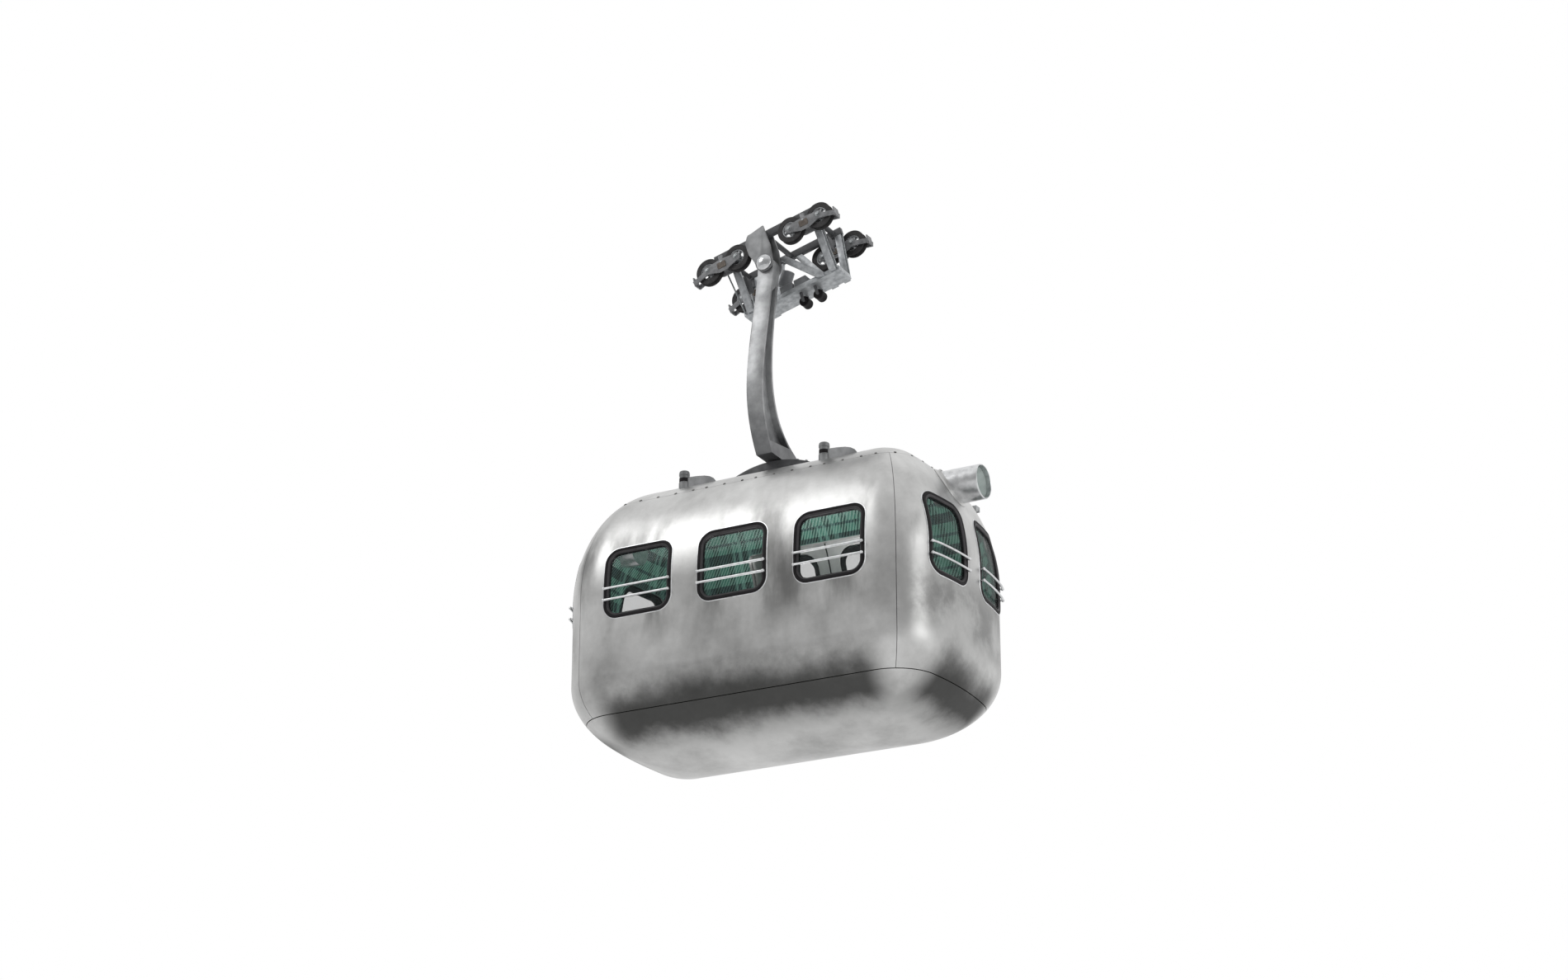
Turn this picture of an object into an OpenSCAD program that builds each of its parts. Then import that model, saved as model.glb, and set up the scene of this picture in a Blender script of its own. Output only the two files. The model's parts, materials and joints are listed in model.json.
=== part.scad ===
// Cable car cabin with its hanger arm and eight-wheel rope carriage.
// Millimetres, +Z up, +X uphill along the ropes, origin midway between the two
// track ropes at the middle of the carriage.

/* [Cabin shell] */
// Length over the bowed ends
cabin_l = 3520; // [2900:10:4300]
// Width over the side walls
cabin_w = 1820; // [1500:10:2200]
// Height from keel to roof
cabin_h = 2460; // [2050:10:3000]
// Thickness of walls, roof and hull
wall = 40; // [25:1:55]
// How far the upper shoulder leans in
shoulder_in = 714; // [500:1:740]
// Height of the upper shoulder
shoulder_h = 1068; // [800:1:1200]
// How far the lower bilge runs in under the floor
bilge_in = 979; // [800:1:1100]
// Height of the lower bilge
bilge_h = 672; // [500:1:800]
// Plan radius of the bowed ends
end_bow_r = 3200; // [2400:50:6000]
// Plan radius of the vertical corners
corner_r = 430; // [300:10:500]
// Thickness of the fabric-faced trim inside
lining_t = 10; // [5:1:18]
// Top of the floor deck above the keel
floor_z = 440; // [380:5:520]

/* [Windows] */
// Width of a side window over its rubber frame
side_win_w = 650; // [450:5:760]
// Height of a side window over its rubber frame
side_win_h = 630; // [450:5:700]
// Height of the side windows' centre above the keel
side_win_z = 1450; // [1300:5:1550]
// Spacing of the side windows
side_pitch = 900; // [800:10:960]
// Width of an end window over its rubber frame
end_win_w = 550; // [350:5:620]
// Height of an end window over its rubber frame
end_win_h = 730; // [500:5:800]
// Height of the end windows' centre above the keel
end_win_z = 1510; // [1400:5:1560]
// Distance of the end windows' centres from the middle
end_win_y = 390; // [330:5:400]
// Width of the rubber frame
seal_w = 46; // [30:1:60]
// Corner radius of the window frames
win_r = 130; // [90:5:150]
// How far the rubber frame stands out of the wall
seal_out = 8; // [4:1:10]
// Thickness of the window glass
glass_t = 6; // [4:1:10]
// Diameter of the guard bars
bar_d = 20; // [12:1:26]

/* [Doors] */
// Width of the doorway
door_w = 1480; // [1000:10:1520]
// Bottom of the doorway above the keel
door_z0 = 460; // [450:5:560]
// Top of the doorway above the keel
door_z1 = 2130; // [1900:5:2150]
// Thickness of a door leaf
leaf_t = 30; // [20:1:40]
// Width of a door window over its opening
door_win_w = 570; // [300:5:580]
// Top of the door windows above the keel
tall_win_top = 2085; // [1800:5:2090]

/* [Hanger] */
// Height of the ropes above the roof
roof_drop = 2020; // [1900:10:2600]
// Depth of the pivot below the ropes
pivot_drop = 105; // [100:1:130]
// Width of the arm's flanges
flange_w = 150; // [110:5:180]
// Thickness of the arm's flanges
flange_t = 22; // [14:1:30]
// Thickness of the arm's web
web_t = 36; // [20:1:50]
// Diameter of the pivot pin
pin_d = 60; // [40:1:70]

/* [Rope carriage] */
// Slope of the ropes at rest
slope = 15; // [0:1:30]
// Distance between the two track ropes
rope_gauge = 630; // [600:5:700]
// Diameter of a track rope
rope_d = 28; // [20:1:36]
// Outer diameter of a wheel
wheel_d = 240; // [210:2:250]
// Radius of a wheel at the bottom of its groove
groove_r = 86; // [80:1:92]
// Width of a wheel
wheel_w = 66; // [54:1:70]
// Distance between the two wheels of a bogie
wheel_pitch = 293; // [280:1:340]
// Distance between the bogie centres
bogie_pitch = 840; // [820:10:1000]
// Diameter of a wheel's axle
axle_d = 40; // [30:1:46]
// Height of the side beams above the rope plane
beam_w0 = 200; // [180:5:230]
// Depth of the tray's underside below the rope plane
tray_drop = 345; // [320:5:400]
// Diameter of the guide rollers
roller_d = 92; // [70:2:100]

/* [Hidden] */
$fn = 48;
eps = 1;                 // how far a cutter runs past what it cuts
fit = 0.3;               // gap between neighbours on the same body
run = 0.05;              // radial clearance of a shaft in its bore
clear = 7;               // gap between pieces that move past each other
cabin_z = -roof_drop - cabin_h;          // keel in the part's frame
shoulder_z = cabin_h - shoulder_h;       // where the shoulder starts
seam_top = 0.625;        // roof seam as a share of the shoulder's quarter turn
seam_low = 0.32;         // hull seam as a share of the bilge's quarter turn
keel_share = 0.86;       // where the bilge ends in the flat keel strip
bow_steps = 3;           // facets on half of a bowed end
corner_steps = 6;        // facets on a corner
side_steps = 2;          // corner facets that belong to a side wall
quarter_n = bow_steps + corner_steps;
ring_n = 4 * quarter_n + 2;

// ---- The shell's surface: a plan ring for each inset, and a section that leans in ----
function fillet(inset, half) = min(max(100, corner_r - inset / 2), 0.95 * half);
function quarter(inset) =
  let (a = cabin_l / 2 - inset, b = cabin_w / 2 - inset, r = fillet(inset, b),
       cx = a - end_bow_r, cy = b - r, fx = cx + sqrt(pow(end_bow_r - r, 2) - cy * cy),
       turn = atan2(cy, fx - cx))
  concat([for (i = [0:bow_steps]) let (t = turn * i / bow_steps)
            [cx + end_bow_r * cos(t), end_bow_r * sin(t)]],
         [for (i = [1:corner_steps]) let (t = turn + (90 - turn) * i / corner_steps)
            [fx + r * cos(t), cy + r * sin(t)]]);
function ring(inset) =
  let (q = quarter(inset), h = concat(q, [for (i = [quarter_n:-1:0]) [-q[i].x, q[i].y]]))
  concat(h, [for (i = [len(h) - 2:-1:1]) [h[i].x, -h[i].y]]);
// A point of the section at a share of the quarter turn: [inset, height], "deep" under the skin
function up_pt(share, deep) =
  [deep + (shoulder_in - deep) * (1 - cos(90 * share)), shoulder_z + (shoulder_h - deep) * sin(90 * share)];
function low_pt(share, deep) =
  [deep + (bilge_in - deep) * (1 - cos(90 * share)), bilge_h - (bilge_h - deep) * sin(90 * share)];
function steps(from, to, n) = [for (i = [0:n]) from + (to - from) * i / n];
function wall_shares() = concat([for (s = steps(-seam_low, 0, 3)) s], [for (s = steps(0.0001, seam_top, 7)) s]);
function sec_pt(share, deep) = share <= 0 ? low_pt(-share, deep) : up_pt(share, deep);
function skin_y(z, deep = 0) = cabin_w / 2 - deep - (z > shoulder_z
  ? (shoulder_in - deep) * (1 - sqrt(1 - pow((z - shoulder_z) / (shoulder_h - deep), 2)))
  : z < bilge_h ? (bilge_in - deep) * (1 - sqrt(1 - pow((bilge_h - z) / (bilge_h - deep), 2))) : 0);

module on_cabin() translate([0, 0, cabin_z]) children();
module on_carriage() rotate([0, -slope, 0]) children();
module both_y() { children(); mirror([0, 1, 0]) children(); }
module both_x() { children(); mirror([1, 0, 0]) children(); }

// A panel of the shell between ring columns i0 and i1, from "out" to "deep" under the skin
module shell_panel(i0, i1, shares, out, deep) {
  nc = i1 - i0 + 1;
  nr = len(shares);
  outer = [for (s = shares) let (p = sec_pt(s, out), g = ring(p[0]))
    for (i = [i0:i1]) let (q = g[(i + ring_n) % ring_n]) [q.x, q.y, p[1]]];
  inner = [for (s = shares) let (p = sec_pt(s, deep), g = ring(p[0]))
    for (i = [i0:i1]) let (q = g[(i + ring_n) % ring_n]) [q.x, q.y, p[1]]];
  m = nr * nc;
  skin = [for (r = [0:nr - 2]) for (c = [0:nc - 2]) let (a = r * nc + c)
    each [[a, a + nc, a + nc + 1], [a, a + nc + 1, a + 1],
          [m + a, m + a + nc + 1, m + a + nc], [m + a, m + a + 1, m + a + nc + 1]]];
  rims = [for (c = [0:nc - 2]) let (a = c, b = (nr - 1) * nc + c)
    each [[a, a + 1, m + a + 1], [a, m + a + 1, m + a], [b, m + b + 1, b + 1], [b, m + b, m + b + 1]]];
  sides = [for (r = [0:nr - 2]) let (a = r * nc, b = r * nc + nc - 1)
    each [[a, m + a, m + a + nc], [a, m + a + nc, a + nc], [b, m + b + nc, m + b], [b, b + nc, m + b + nc]]];
  polyhedron(concat(outer, inner), concat(skin, rims, sides), convexity = 8);
}
// A dish of the shell, closed all round and at its last share
module shell_dish(shares, out, deep, up) {
  nr = len(shares);
  outer = [for (s = shares) let (p = up ? up_pt(s, out) : low_pt(s, out)) for (q = ring(p[0])) [q.x, q.y, p[1]]];
  inner = [for (s = shares) let (p = up ? up_pt(s, deep) : low_pt(s, deep)) for (q = ring(p[0])) [q.x, q.y, p[1]]];
  m = nr * ring_n;
  function nx(c) = (c + 1) % ring_n;
  faces = concat(
    [for (r = [0:nr - 2]) for (c = [0:ring_n - 1])
      let (a = r * ring_n + c, b = r * ring_n + nx(c), d = a + ring_n, e = b + ring_n)
      each [[a, d, e], [a, e, b], [m + a, m + e, m + d], [m + a, m + b, m + e]]],
    [for (c = [0:ring_n - 1]) each [[c, nx(c), m + nx(c)], [c, m + nx(c), m + c]]],
    [[for (c = [ring_n - 1:-1:0]) (nr - 1) * ring_n + c], [for (c = [0:ring_n - 1]) m + (nr - 1) * ring_n + c]]);
  polyhedron(concat(outer, inner), up ? faces : [for (f = faces) [for (i = [len(f) - 1:-1:0]) f[i]]], convexity = 8);
}
// A belt of the shell, closed all round and open above and below
module shell_belt(shares, out, deep) {
  nr = len(shares);
  outer = [for (s = shares) let (p = sec_pt(s, out)) for (q = ring(p[0])) [q.x, q.y, p[1]]];
  inner = [for (s = shares) let (p = sec_pt(s, deep)) for (q = ring(p[0])) [q.x, q.y, p[1]]];
  m = nr * ring_n;
  function nx(c) = (c + 1) % ring_n;
  polyhedron(concat(outer, inner), concat(
    [for (r = [0:nr - 2]) for (c = [0:ring_n - 1])
      let (a = r * ring_n + c, b = r * ring_n + nx(c), d = a + ring_n, e = b + ring_n)
      each [[a, d, e], [a, e, b], [m + a, m + e, m + d], [m + a, m + b, m + e]]],
    [for (c = [0:ring_n - 1]) let (t = (nr - 1) * ring_n)
      each [[c, nx(c), m + nx(c)], [c, m + nx(c), m + c],
            [t + c, m + t + nx(c), t + nx(c)], [t + c, m + t + c, m + t + nx(c)]]]), convexity = 8);
}
// A prism with rounded corners along Y, cut through a wall
module pane_y(w, z0, z1, r, depth) {
  h = z1 - z0;
  translate([0, 0, (z0 + z1) / 2]) {
    cube([w - 2 * r, depth, h], center = true);
    cube([w, depth, h - 2 * r], center = true);
    for (sx = [-1, 1], sz = [-1, 1])
      translate([sx * (w / 2 - r), 0, sz * (h / 2 - r)]) rotate([90, 0, 0]) cylinder(r = r, h = depth, center = true);
  }
}
module pane_x(w, z0, z1, r, depth) rotate([0, 0, 90]) pane_y(w, z0, z1, r, depth);

// Where each window is: children are placed at the window, "grow" is added to its opening
win_z0 = side_win_z - side_win_h / 2;
win_z1 = side_win_z + side_win_h / 2;
end_z0 = end_win_z - end_win_h / 2;
end_z1 = end_win_z + end_win_h / 2;
cut_depth = 640;
near_x = [-side_pitch, 0, side_pitch];
module near_cuts(grow) for (x = near_x) translate([x, -cabin_w / 2, 0])
  pane_y(side_win_w + 2 * grow, win_z0 - grow, win_z1 + grow, win_r + grow, cut_depth);
module end_cuts(grow) both_x() for (y = [-end_win_y, end_win_y]) translate([cabin_l / 2, y, 0])
  pane_x(end_win_w + 2 * grow, end_z0 - grow, end_z1 + grow, win_r + grow, cut_depth);
module doorway(grow) translate([0, cabin_w / 2, (door_z0 + door_z1) / 2])
  cube([door_w + 2 * grow, cut_depth, door_z1 - door_z0 + 2 * grow], center = true);

panel_shares = wall_shares();
side_i0 = quarter_n - side_steps;
side_i1 = quarter_n + 1 + side_steps;

module roof_shell() color("silver") on_cabin()
  shell_dish(steps(seam_top, 1, 5), 0, wall, true);
module lower_hull() color("gainsboro") on_cabin()
  shell_dish(steps(seam_low, keel_share, 6), 0, wall, false);
module near_wall() color("darkgray") on_cabin() difference() {
  shell_panel(ring_n - side_i1, ring_n - side_i0, panel_shares, 0, wall);
  near_cuts(fit);
}
module far_wall() color("darkgray") on_cabin() difference() {
  shell_panel(side_i0, side_i1, panel_shares, 0, wall);
  doorway(0);
}
module front_end() color("gainsboro") on_cabin() difference() {
  shell_panel(-side_i0, side_i0, panel_shares, 0, wall);
  end_cuts(fit);
  lamp_bore(fit);
}
module rear_end() color("gainsboro") on_cabin() difference() {
  shell_panel(side_i1, ring_n - side_i1, panel_shares, 0, wall);
  end_cuts(fit);
  lamp_bore(fit);
}

// ---- Inside ----
deck_t = 30;
module floor_deck() color("dimgray") on_cabin() difference() {
  translate([0, 0, floor_z - deck_t]) linear_extrude(deck_t) polygon(ring(cabin_w / 2 - skin_y(floor_z) + wall / 2));
  shell_belt([for (s = panel_shares) if (s < 0.01) s], -wall, wall + fit);
}
module wall_lining() color("teal") on_cabin() difference() {
  shell_belt([for (s = panel_shares) if (s > -0.75 * seam_low) s], wall + fit, wall + fit + lining_t);
  near_cuts(fit);
  end_cuts(fit);
  doorway(0);
  lamp_bore(fit);
}
module ceiling_lining() color("teal") on_cabin()
  shell_dish(steps(seam_top, 1, 5), wall + fit, wall + fit + lining_t, true);

// ---- Windows ----
glass_deep = 16;         // depth of the glass under the skin
module side_strip(out, deep) shell_panel(ring_n - quarter_n - 1, ring_n - quarter_n, panel_shares, out, deep);
module end_strip(front, out, deep)
  if (front) shell_panel(-bow_steps - 2, bow_steps + 2, panel_shares, out, deep);
  else mirror([1, 0, 0]) shell_panel(-bow_steps - 2, bow_steps + 2, panel_shares, out, deep);
module window_frames() color("black") on_cabin() {
  difference() {
    intersection() { side_strip(-seal_out, wall); near_cuts(0); }
    near_cuts(-seal_w);
  }
  for (front = [true, false]) difference() {
    intersection() { end_strip(front, -seal_out, wall); end_cuts(0); }
    end_cuts(-seal_w);
  }
}
module window_glass() color("lightblue") on_cabin() {
  intersection() { side_strip(glass_deep, glass_deep + glass_t); near_cuts(-seal_w - fit); }
  for (front = [true, false])
    intersection() { end_strip(front, glass_deep, glass_deep + glass_t); end_cuts(-seal_w - fit); }
}
bar_z = [1300, 1400];    // heights of the guard bars above the keel
bar_gap = 30;            // from the skin to a bar's middle
module side_guard_bars() color("silver") on_cabin() for (x = near_x, z = bar_z) {
  half = side_win_w / 2 - seal_w / 3;
  y = -cabin_w / 2 - bar_gap;
  translate([x - half - bar_d / 2, y, z]) rotate([0, 90, 0]) cylinder(d = bar_d, h = 2 * half + bar_d);
  for (s = [-1, 1]) translate([x + s * half, y, z]) rotate([-90, 0, 0])
    cylinder(d = bar_d * 0.8, h = bar_gap - seal_out - fit);
}
// A round bar bowed about Z from angle a0 to a1: rings of points joined by faces
bow_n = 8;
bow_q = 16;
module bowed_bar(r, a0, a1, d) polyhedron(
  [for (i = [0:bow_n], j = [0:bow_q - 1])
    let (a = a0 + (a1 - a0) * i / bow_n, q = 360 * j / bow_q, k = r + d / 2 * cos(q))
    [k * cos(a), k * sin(a), d / 2 * sin(q)]],
  concat(
    [for (i = [0:bow_n - 1], j = [0:bow_q - 1]) let (a = i * bow_q + j, b = i * bow_q + (j + 1) % bow_q)
      each [[a, b, b + bow_q], [a, b + bow_q, a + bow_q]]],
    [[for (j = [bow_q - 1:-1:0]) j], [for (j = [0:bow_q - 1]) bow_n * bow_q + j]]));
module end_guard_bars() color("silver") on_cabin() both_x() difference() {
  for (s = [-1, 1], z = bar_z) {
    half = end_win_w / 2 - seal_w / 3;
    a0 = asin((end_win_y - half) / end_bow_r);
    a1 = asin((end_win_y + half) / end_bow_r);
    translate([cabin_l / 2 - end_bow_r, 0, z]) {
      bowed_bar(end_bow_r + bar_gap, s > 0 ? a0 : -a1, s > 0 ? a1 : -a0, bar_d);
      for (a = [a0, a1]) rotate([0, 0, s * a]) translate([end_bow_r - 12, 0, 0]) rotate([0, 90, 0])
        cylinder(d = bar_d * 1.1, h = bar_gap + 12 + bar_d / 2);
    }
  }
  end_strip(true, -seal_out - fit, wall);
}

// ---- Headlamps ----
lamp_r = 148;            // outer radius of a lamp's tube
lamp_z = 2110;           // its middle above the keel
lamp_reach = 110;        // from the end's widest line to the lens rim
lamp_wall = 10;
lamp_back = 430;         // length of the tube
lens_t = 14;
lamp_x = cabin_l / 2 + lamp_reach;
module lamp_bore(grow) both_x() translate([lamp_x - lamp_back - eps, 0, lamp_z]) rotate([0, 90, 0])
  cylinder(r = lamp_r + grow, h = lamp_back + 2 * eps);
module lamp_housings() color("silver") on_cabin() both_x() translate([lamp_x, 0, lamp_z]) rotate([0, -90, 0])
  difference() {
    cylinder(r = lamp_r, h = lamp_back);
    translate([0, 0, -eps]) cylinder(r = lamp_r - lamp_wall, h = lamp_back - lamp_wall + eps);
  }
module lamp_lenses() color("white") on_cabin() both_x() translate([lamp_x - 25, 0, lamp_z]) rotate([0, 90, 0])
  cylinder(r = lamp_r - lamp_wall - fit, h = lens_t);

// ---- Roof posts: a post on a ring, with a low fairing behind it ----
post_r = 43;
post_h = 165;
post_y = 430;
post_x = [-740, 610];
module roof_posts() color("gray") on_cabin() for (x = post_x) both_y() {
  z0 = roof_z_at(post_y + post_r) - 4;
  difference() {
    translate([x, post_y, z0]) {
      cylinder(r = post_r, h = post_h + 4);
      cylinder(r = post_r + 5, h = 62);
      translate([0, -16, 0]) linear_extrude(60) polygon([[0, 0], [310, 10], [310, 22], [0, 32]]);
      translate([0, 16, 60]) rotate([90, 0, 0]) linear_extrude(32)
        polygon([[0, 0], [290, 0], [200, 34], [120, 44], [0, 50]]);
    }
    shell_dish(steps(seam_top, 1, 5), -fit, wall + 100, true);
  }
}
function roof_z_at(y) = shoulder_z + shoulder_h * sqrt(1 - pow(1 - (cabin_w / 2 - y) / shoulder_in, 2));

// ---- Doors on the far side: two outside-hung leaves that slide apart ----
leaf_gap = 14;           // from the skin to the inner face of a leaf
leaf_w = door_w / 2 + 40;
leaf_z0 = door_z0 - 20;
leaf_z1 = door_z1 + 20;
rail_h = 46;
rail_w = 40;
tongue_w = 14;
tongue_h = 18;
leaf_n = 12;
function leaf_side(deep) = [for (i = [0:leaf_n]) let (z = leaf_z0 + (leaf_z1 - leaf_z0) * i / leaf_n)
  [skin_y(z) - deep, z]];
leaf_top_y = skin_y(leaf_z1) + leaf_gap + leaf_t / 2;
module leaf_plate(w) rotate([90, 0, 90]) linear_extrude(w)
  polygon(concat(leaf_side(-leaf_gap - leaf_t), [for (i = [leaf_n:-1:0]) leaf_side(-leaf_gap)[i]]));
module door_window(grow) translate([leaf_w / 2, cabin_w / 2, 0])
  pane_y(door_win_w + 2 * grow, win_z0 - grow, tall_win_top + grow, win_r + grow, cut_depth);
module door_leaf() color("silver") on_cabin() {
  difference() {
    translate([2.5, 0, 0]) leaf_plate(leaf_w - 2.5);
    door_window(0);
  }
  translate([40, leaf_top_y - tongue_w / 2, leaf_z1 - 12]) cube([leaf_w - 80, tongue_w, tongue_h + 12 + clear]);
}
module door_glass() color("lightblue") on_cabin() intersection() {
  translate([30, -leaf_t / 2 + glass_t / 2, 0]) leaf_glass(leaf_w - 60);
  door_window(-fit);
}
module leaf_glass(w) rotate([90, 0, 90]) linear_extrude(w)
  polygon(concat(leaf_side(-leaf_gap - leaf_t), [for (i = [leaf_n:-1:0]) leaf_side(-leaf_gap - leaf_t + glass_t)[i]]));
module door_leaf_front() door_leaf();
module door_leaf_rear() mirror([1, 0, 0]) door_leaf();
module door_glass_front() door_glass();
module door_glass_rear() mirror([1, 0, 0]) door_glass();
rail_z = leaf_z1 + clear;
door_travel = 700;
rail_l = 2 * (leaf_w + door_travel);
module door_rails() color("gray") on_cabin() difference() {
  translate([-rail_l / 2, skin_y(rail_z) - wall / 2, rail_z])
    cube([rail_l, leaf_top_y + rail_w / 2 - skin_y(rail_z) + wall / 2, rail_h]);
  translate([-rail_l / 2 - eps, leaf_top_y - tongue_w / 2 - fit, rail_z - eps])
    cube([rail_l + 2 * eps, tongue_w + 2 * fit, tongue_h + fit + eps]);
  shell_panel(side_i0, side_i1, panel_shares, -fit, wall + 60);
}

// ---- Hanger: an I-section arm that swings on the pivot pin and stands on the roof ----
head_r = 66;
ear_r = 82;              // rounded lower end of the carriage's two ears
head_y0 = -352;          // outer and inner faces of the arm's head
head_y1 = -222;
foot_z = -roof_drop + 118;
toe_y = -366;
heel_y = 190;
toe_z = -roof_drop + 128;
// Edges of the arm's side view as Bezier curves of [y, z]: from the head down to the foot
outer_ctrl = [[head_y0, -pivot_drop - ear_r - 10], [-490, -1005], [-690, -1400], [toe_y, toe_z]];
inner_ctrl = [[head_y1, -pivot_drop], [-400, -1000], [-480, -1560], [60, toe_z + 107]];
arm_n = 22;              // facets along an edge
function bez(c, t) = pow(1 - t, 3) * c[0] + 3 * t * pow(1 - t, 2) * c[1] + 3 * t * t * (1 - t) * c[2] + t * t * t * c[3];
function bez_dir(c, t) = let (d = pow(1 - t, 2) * (c[1] - c[0]) + 2 * t * (1 - t) * (c[2] - c[1]) + t * t * (c[3] - c[2]))
  d / norm(d);
function edge(c, t0, t1, off) = [for (i = [0:arm_n]) let (t = t0 + (t1 - t0) * i / arm_n, d = bez_dir(c, t))
  bez(c, t) + off * [-d[1], d[0]]];
function back(v) = [for (i = [len(v) - 1:-1:0]) v[i]];
module arm_side() polygon(concat([[head_y0, -pivot_drop]], edge(outer_ctrl, 0, 1, 0), [[heel_y, foot_z], [heel_y, foot_z + flange_t]],
  back(edge(inner_ctrl, 0, 1, 0))));
module arm_pocket() polygon(concat(edge(outer_ctrl, 0.08, 0.94, flange_t), back(edge(inner_ctrl, 0.08, 0.93, -flange_t))));
module hanger_arm() color("darkgray") difference() {
  union() {
    rotate([90, 0, 90]) linear_extrude(flange_w, center = true) arm_side();
    translate([0, head_y0, -pivot_drop]) rotate([-90, 0, 0]) cylinder(r = head_r, h = head_y1 - head_y0);
  }
  both_x() translate([web_t / 2, 0, 0]) rotate([90, 0, 90]) linear_extrude(flange_w) arm_pocket();
  translate([0, head_y0 - eps, -pivot_drop]) rotate([-90, 0, 0]) cylinder(d = pin_d, h = head_y1 - head_y0 + 2 * eps);
}
module hanger_foot() color("dimgray") on_cabin() translate([0, 0, cabin_h]) difference() {
  intersection() {
    translate([-365, -215, 0]) cube([730, 430, 118]);
    translate([0, 0, 118 - 900]) rotate([90, 0, 0]) cylinder(r = 900, h = 600, center = true, $fn = 96);
  }
  translate([0, 0, -cabin_h]) shell_dish(steps(seam_top, 1, 5), -fit, wall, true);
}

// ---- Rope carriage, in its own tilted frame: x along the ropes, z square to them ----
ear_t = 20;
ear_gap = 5;
rope_y = rope_gauge / 2;
pivot_u = -pivot_drop * sin(slope);
pivot_w = -pivot_drop * cos(slope);
ear_w = 200;
head_top = 250;
beam_t = 44;
beam_y = -head_y1 - ear_gap + beam_t / 2 + fit;
beam_h = 66;
beam_l = 1040;
module ear_side(w0) {
  translate([pivot_u, pivot_w]) circle(r = ear_r);
  polygon([[pivot_u - ear_w / 2 - 20, 40], [pivot_u - ear_w / 2 + 15, w0], [pivot_u - ear_r, pivot_w], [pivot_u + ear_r, pivot_w],
    [pivot_u + ear_w / 2 - 5, 40], [pivot_u + ear_w / 2 - 20, head_top], [pivot_u - ear_w / 2 + 10, head_top - 30],
    [pivot_u - ear_w / 2 - 26, head_top - 90]]);
}
module ear(y) on_carriage() translate([0, y, 0]) rotate([90, 0, 0]) linear_extrude(ear_t) ear_side(-60);
module head_plate() color("gray") {
  difference() {
    union() {
      ear(head_y0 - ear_gap);
      ear(head_y1 + ear_gap + ear_t);
      on_carriage() translate([pivot_u - 90, head_y0 - ear_gap - 1, head_top - 66])
        cube([150, -beam_y - beam_t / 2 - fit - head_y0 + ear_gap + 1, 56]);
    }
    translate([0, -600, -pivot_drop]) rotate([-90, 0, 0]) cylinder(d = pin_d, h = 600);
    on_carriage() translate([0, 0, beam_w0 + beam_h / 2]) rotate([90, 0, 0])
      cylinder(r = cross_r + fit, h = 2 * beam_y, center = true);
  }
}
module pivot_pin() color("silver") translate([0, 0, -pivot_drop]) {
  rotate([90, 0, 0]) translate([0, 0, -head_y1 - ear_gap - ear_t - 22])
    cylinder(r = pin_d / 2 - run, h = head_y1 - head_y0 + 2 * ear_gap + 2 * ear_t + 22);
  intersection() {
    translate([0, head_y0 - ear_gap - ear_t + 78, 0]) sphere(r = 116);
    translate([0, head_y0 - ear_gap - ear_t - fit, 0]) rotate([90, 0, 0]) cylinder(r = 73, h = 60);
  }
  translate([0, head_y1 + ear_gap + ear_t + fit, 0]) rotate([-90, 0, 0]) cylinder(r = 52, h = 20);
}
module side_beams() color("darkslategray") on_carriage() both_y()
  translate([-beam_l / 2, beam_y - beam_t / 2, beam_w0]) cube([beam_l, beam_t, beam_h]);
cross_u = [-440, 0, 440];
cross_r = 24;
module cross_tubes() color("darkslategray") on_carriage() for (u = cross_u)
  translate([u, 0, beam_w0 + beam_h / 2]) rotate([90, 0, 0])
    cylinder(r = cross_r, h = 2 * beam_y - beam_t - 2 * fit, center = true);
post_u = [-362, 476];     // the posts, clear of the bogies' brackets
post_t = 40;
tray_u0 = -440;
tray_u1 = 530;
tray_w = 224;
tray_t = 46;
tray_lip = 12;
post_foot_y = tray_w / 2 + post_t / 2 + fit;
module carriage_posts() color("lightgray") on_carriage() both_y() for (u = post_u) hull() {
  translate([u, beam_y, beam_w0 - 2 - fit]) cube([62, post_t, 4], center = true);
  translate([u, post_foot_y, -tray_drop + 12]) cube([62, post_t, 4], center = true);
}
brace_t = 34;
brace_w = 66;
ear_in_y = -head_y1 - ear_gap - ear_t;   // inner face of the inner ear
brace_foot_u = [-240, 354];
// Near braces start at the inner ear, far ones under the far beam
module brace(u0, y0, w0, u1) hull() {
  translate([u0, y0, w0]) cube([brace_w, brace_t, 10], center = true);
  translate([u1, y0 > 0 ? tray_w / 2 + brace_t / 2 + fit : -tray_w / 2 - brace_t / 2 - fit, -tray_drop + 20])
    cube([brace_w, brace_t, 20], center = true);
}
module carriage_braces() color("lightgray") on_carriage() for (i = [0, 1]) {
  brace([-122, 72][i], -ear_in_y + brace_t / 2 + fit, -20, brace_foot_u[i]);
  brace([-122, 72][i], beam_y, beam_w0 - 5 - fit, brace_foot_u[i]);
}
module service_tray() color("white") on_carriage() translate([tray_u0, -tray_w / 2, -tray_drop])
  difference() {
    cube([tray_u1 - tray_u0, tray_w, tray_t]);
    translate([tray_lip, tray_lip, 8]) cube([tray_u1 - tray_u0 - 2 * tray_lip, tray_w - 2 * tray_lip, tray_t]);
  }
box_w = 126;
box_h = 112;
module control_boxes() color("gray") on_carriage() for (u = [0, 142])
  translate([u - box_w / 2, -tray_w / 2 + tray_lip + fit, -tray_drop + 8 + fit]) cube([box_w, 98, box_h]);
motor_u = -70;
motor_w = -150;
module drive_motor() color("slategray") on_carriage() translate([motor_u, 44, 0]) {
  translate([0, 0, -tray_drop + 8 + fit]) cylinder(r = 34, h = tray_drop + motor_w - 8 - fit);
  translate([0, 0, motor_w]) rotate([0, 32, 0]) cylinder(r = 58, h = 140);
}
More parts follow.
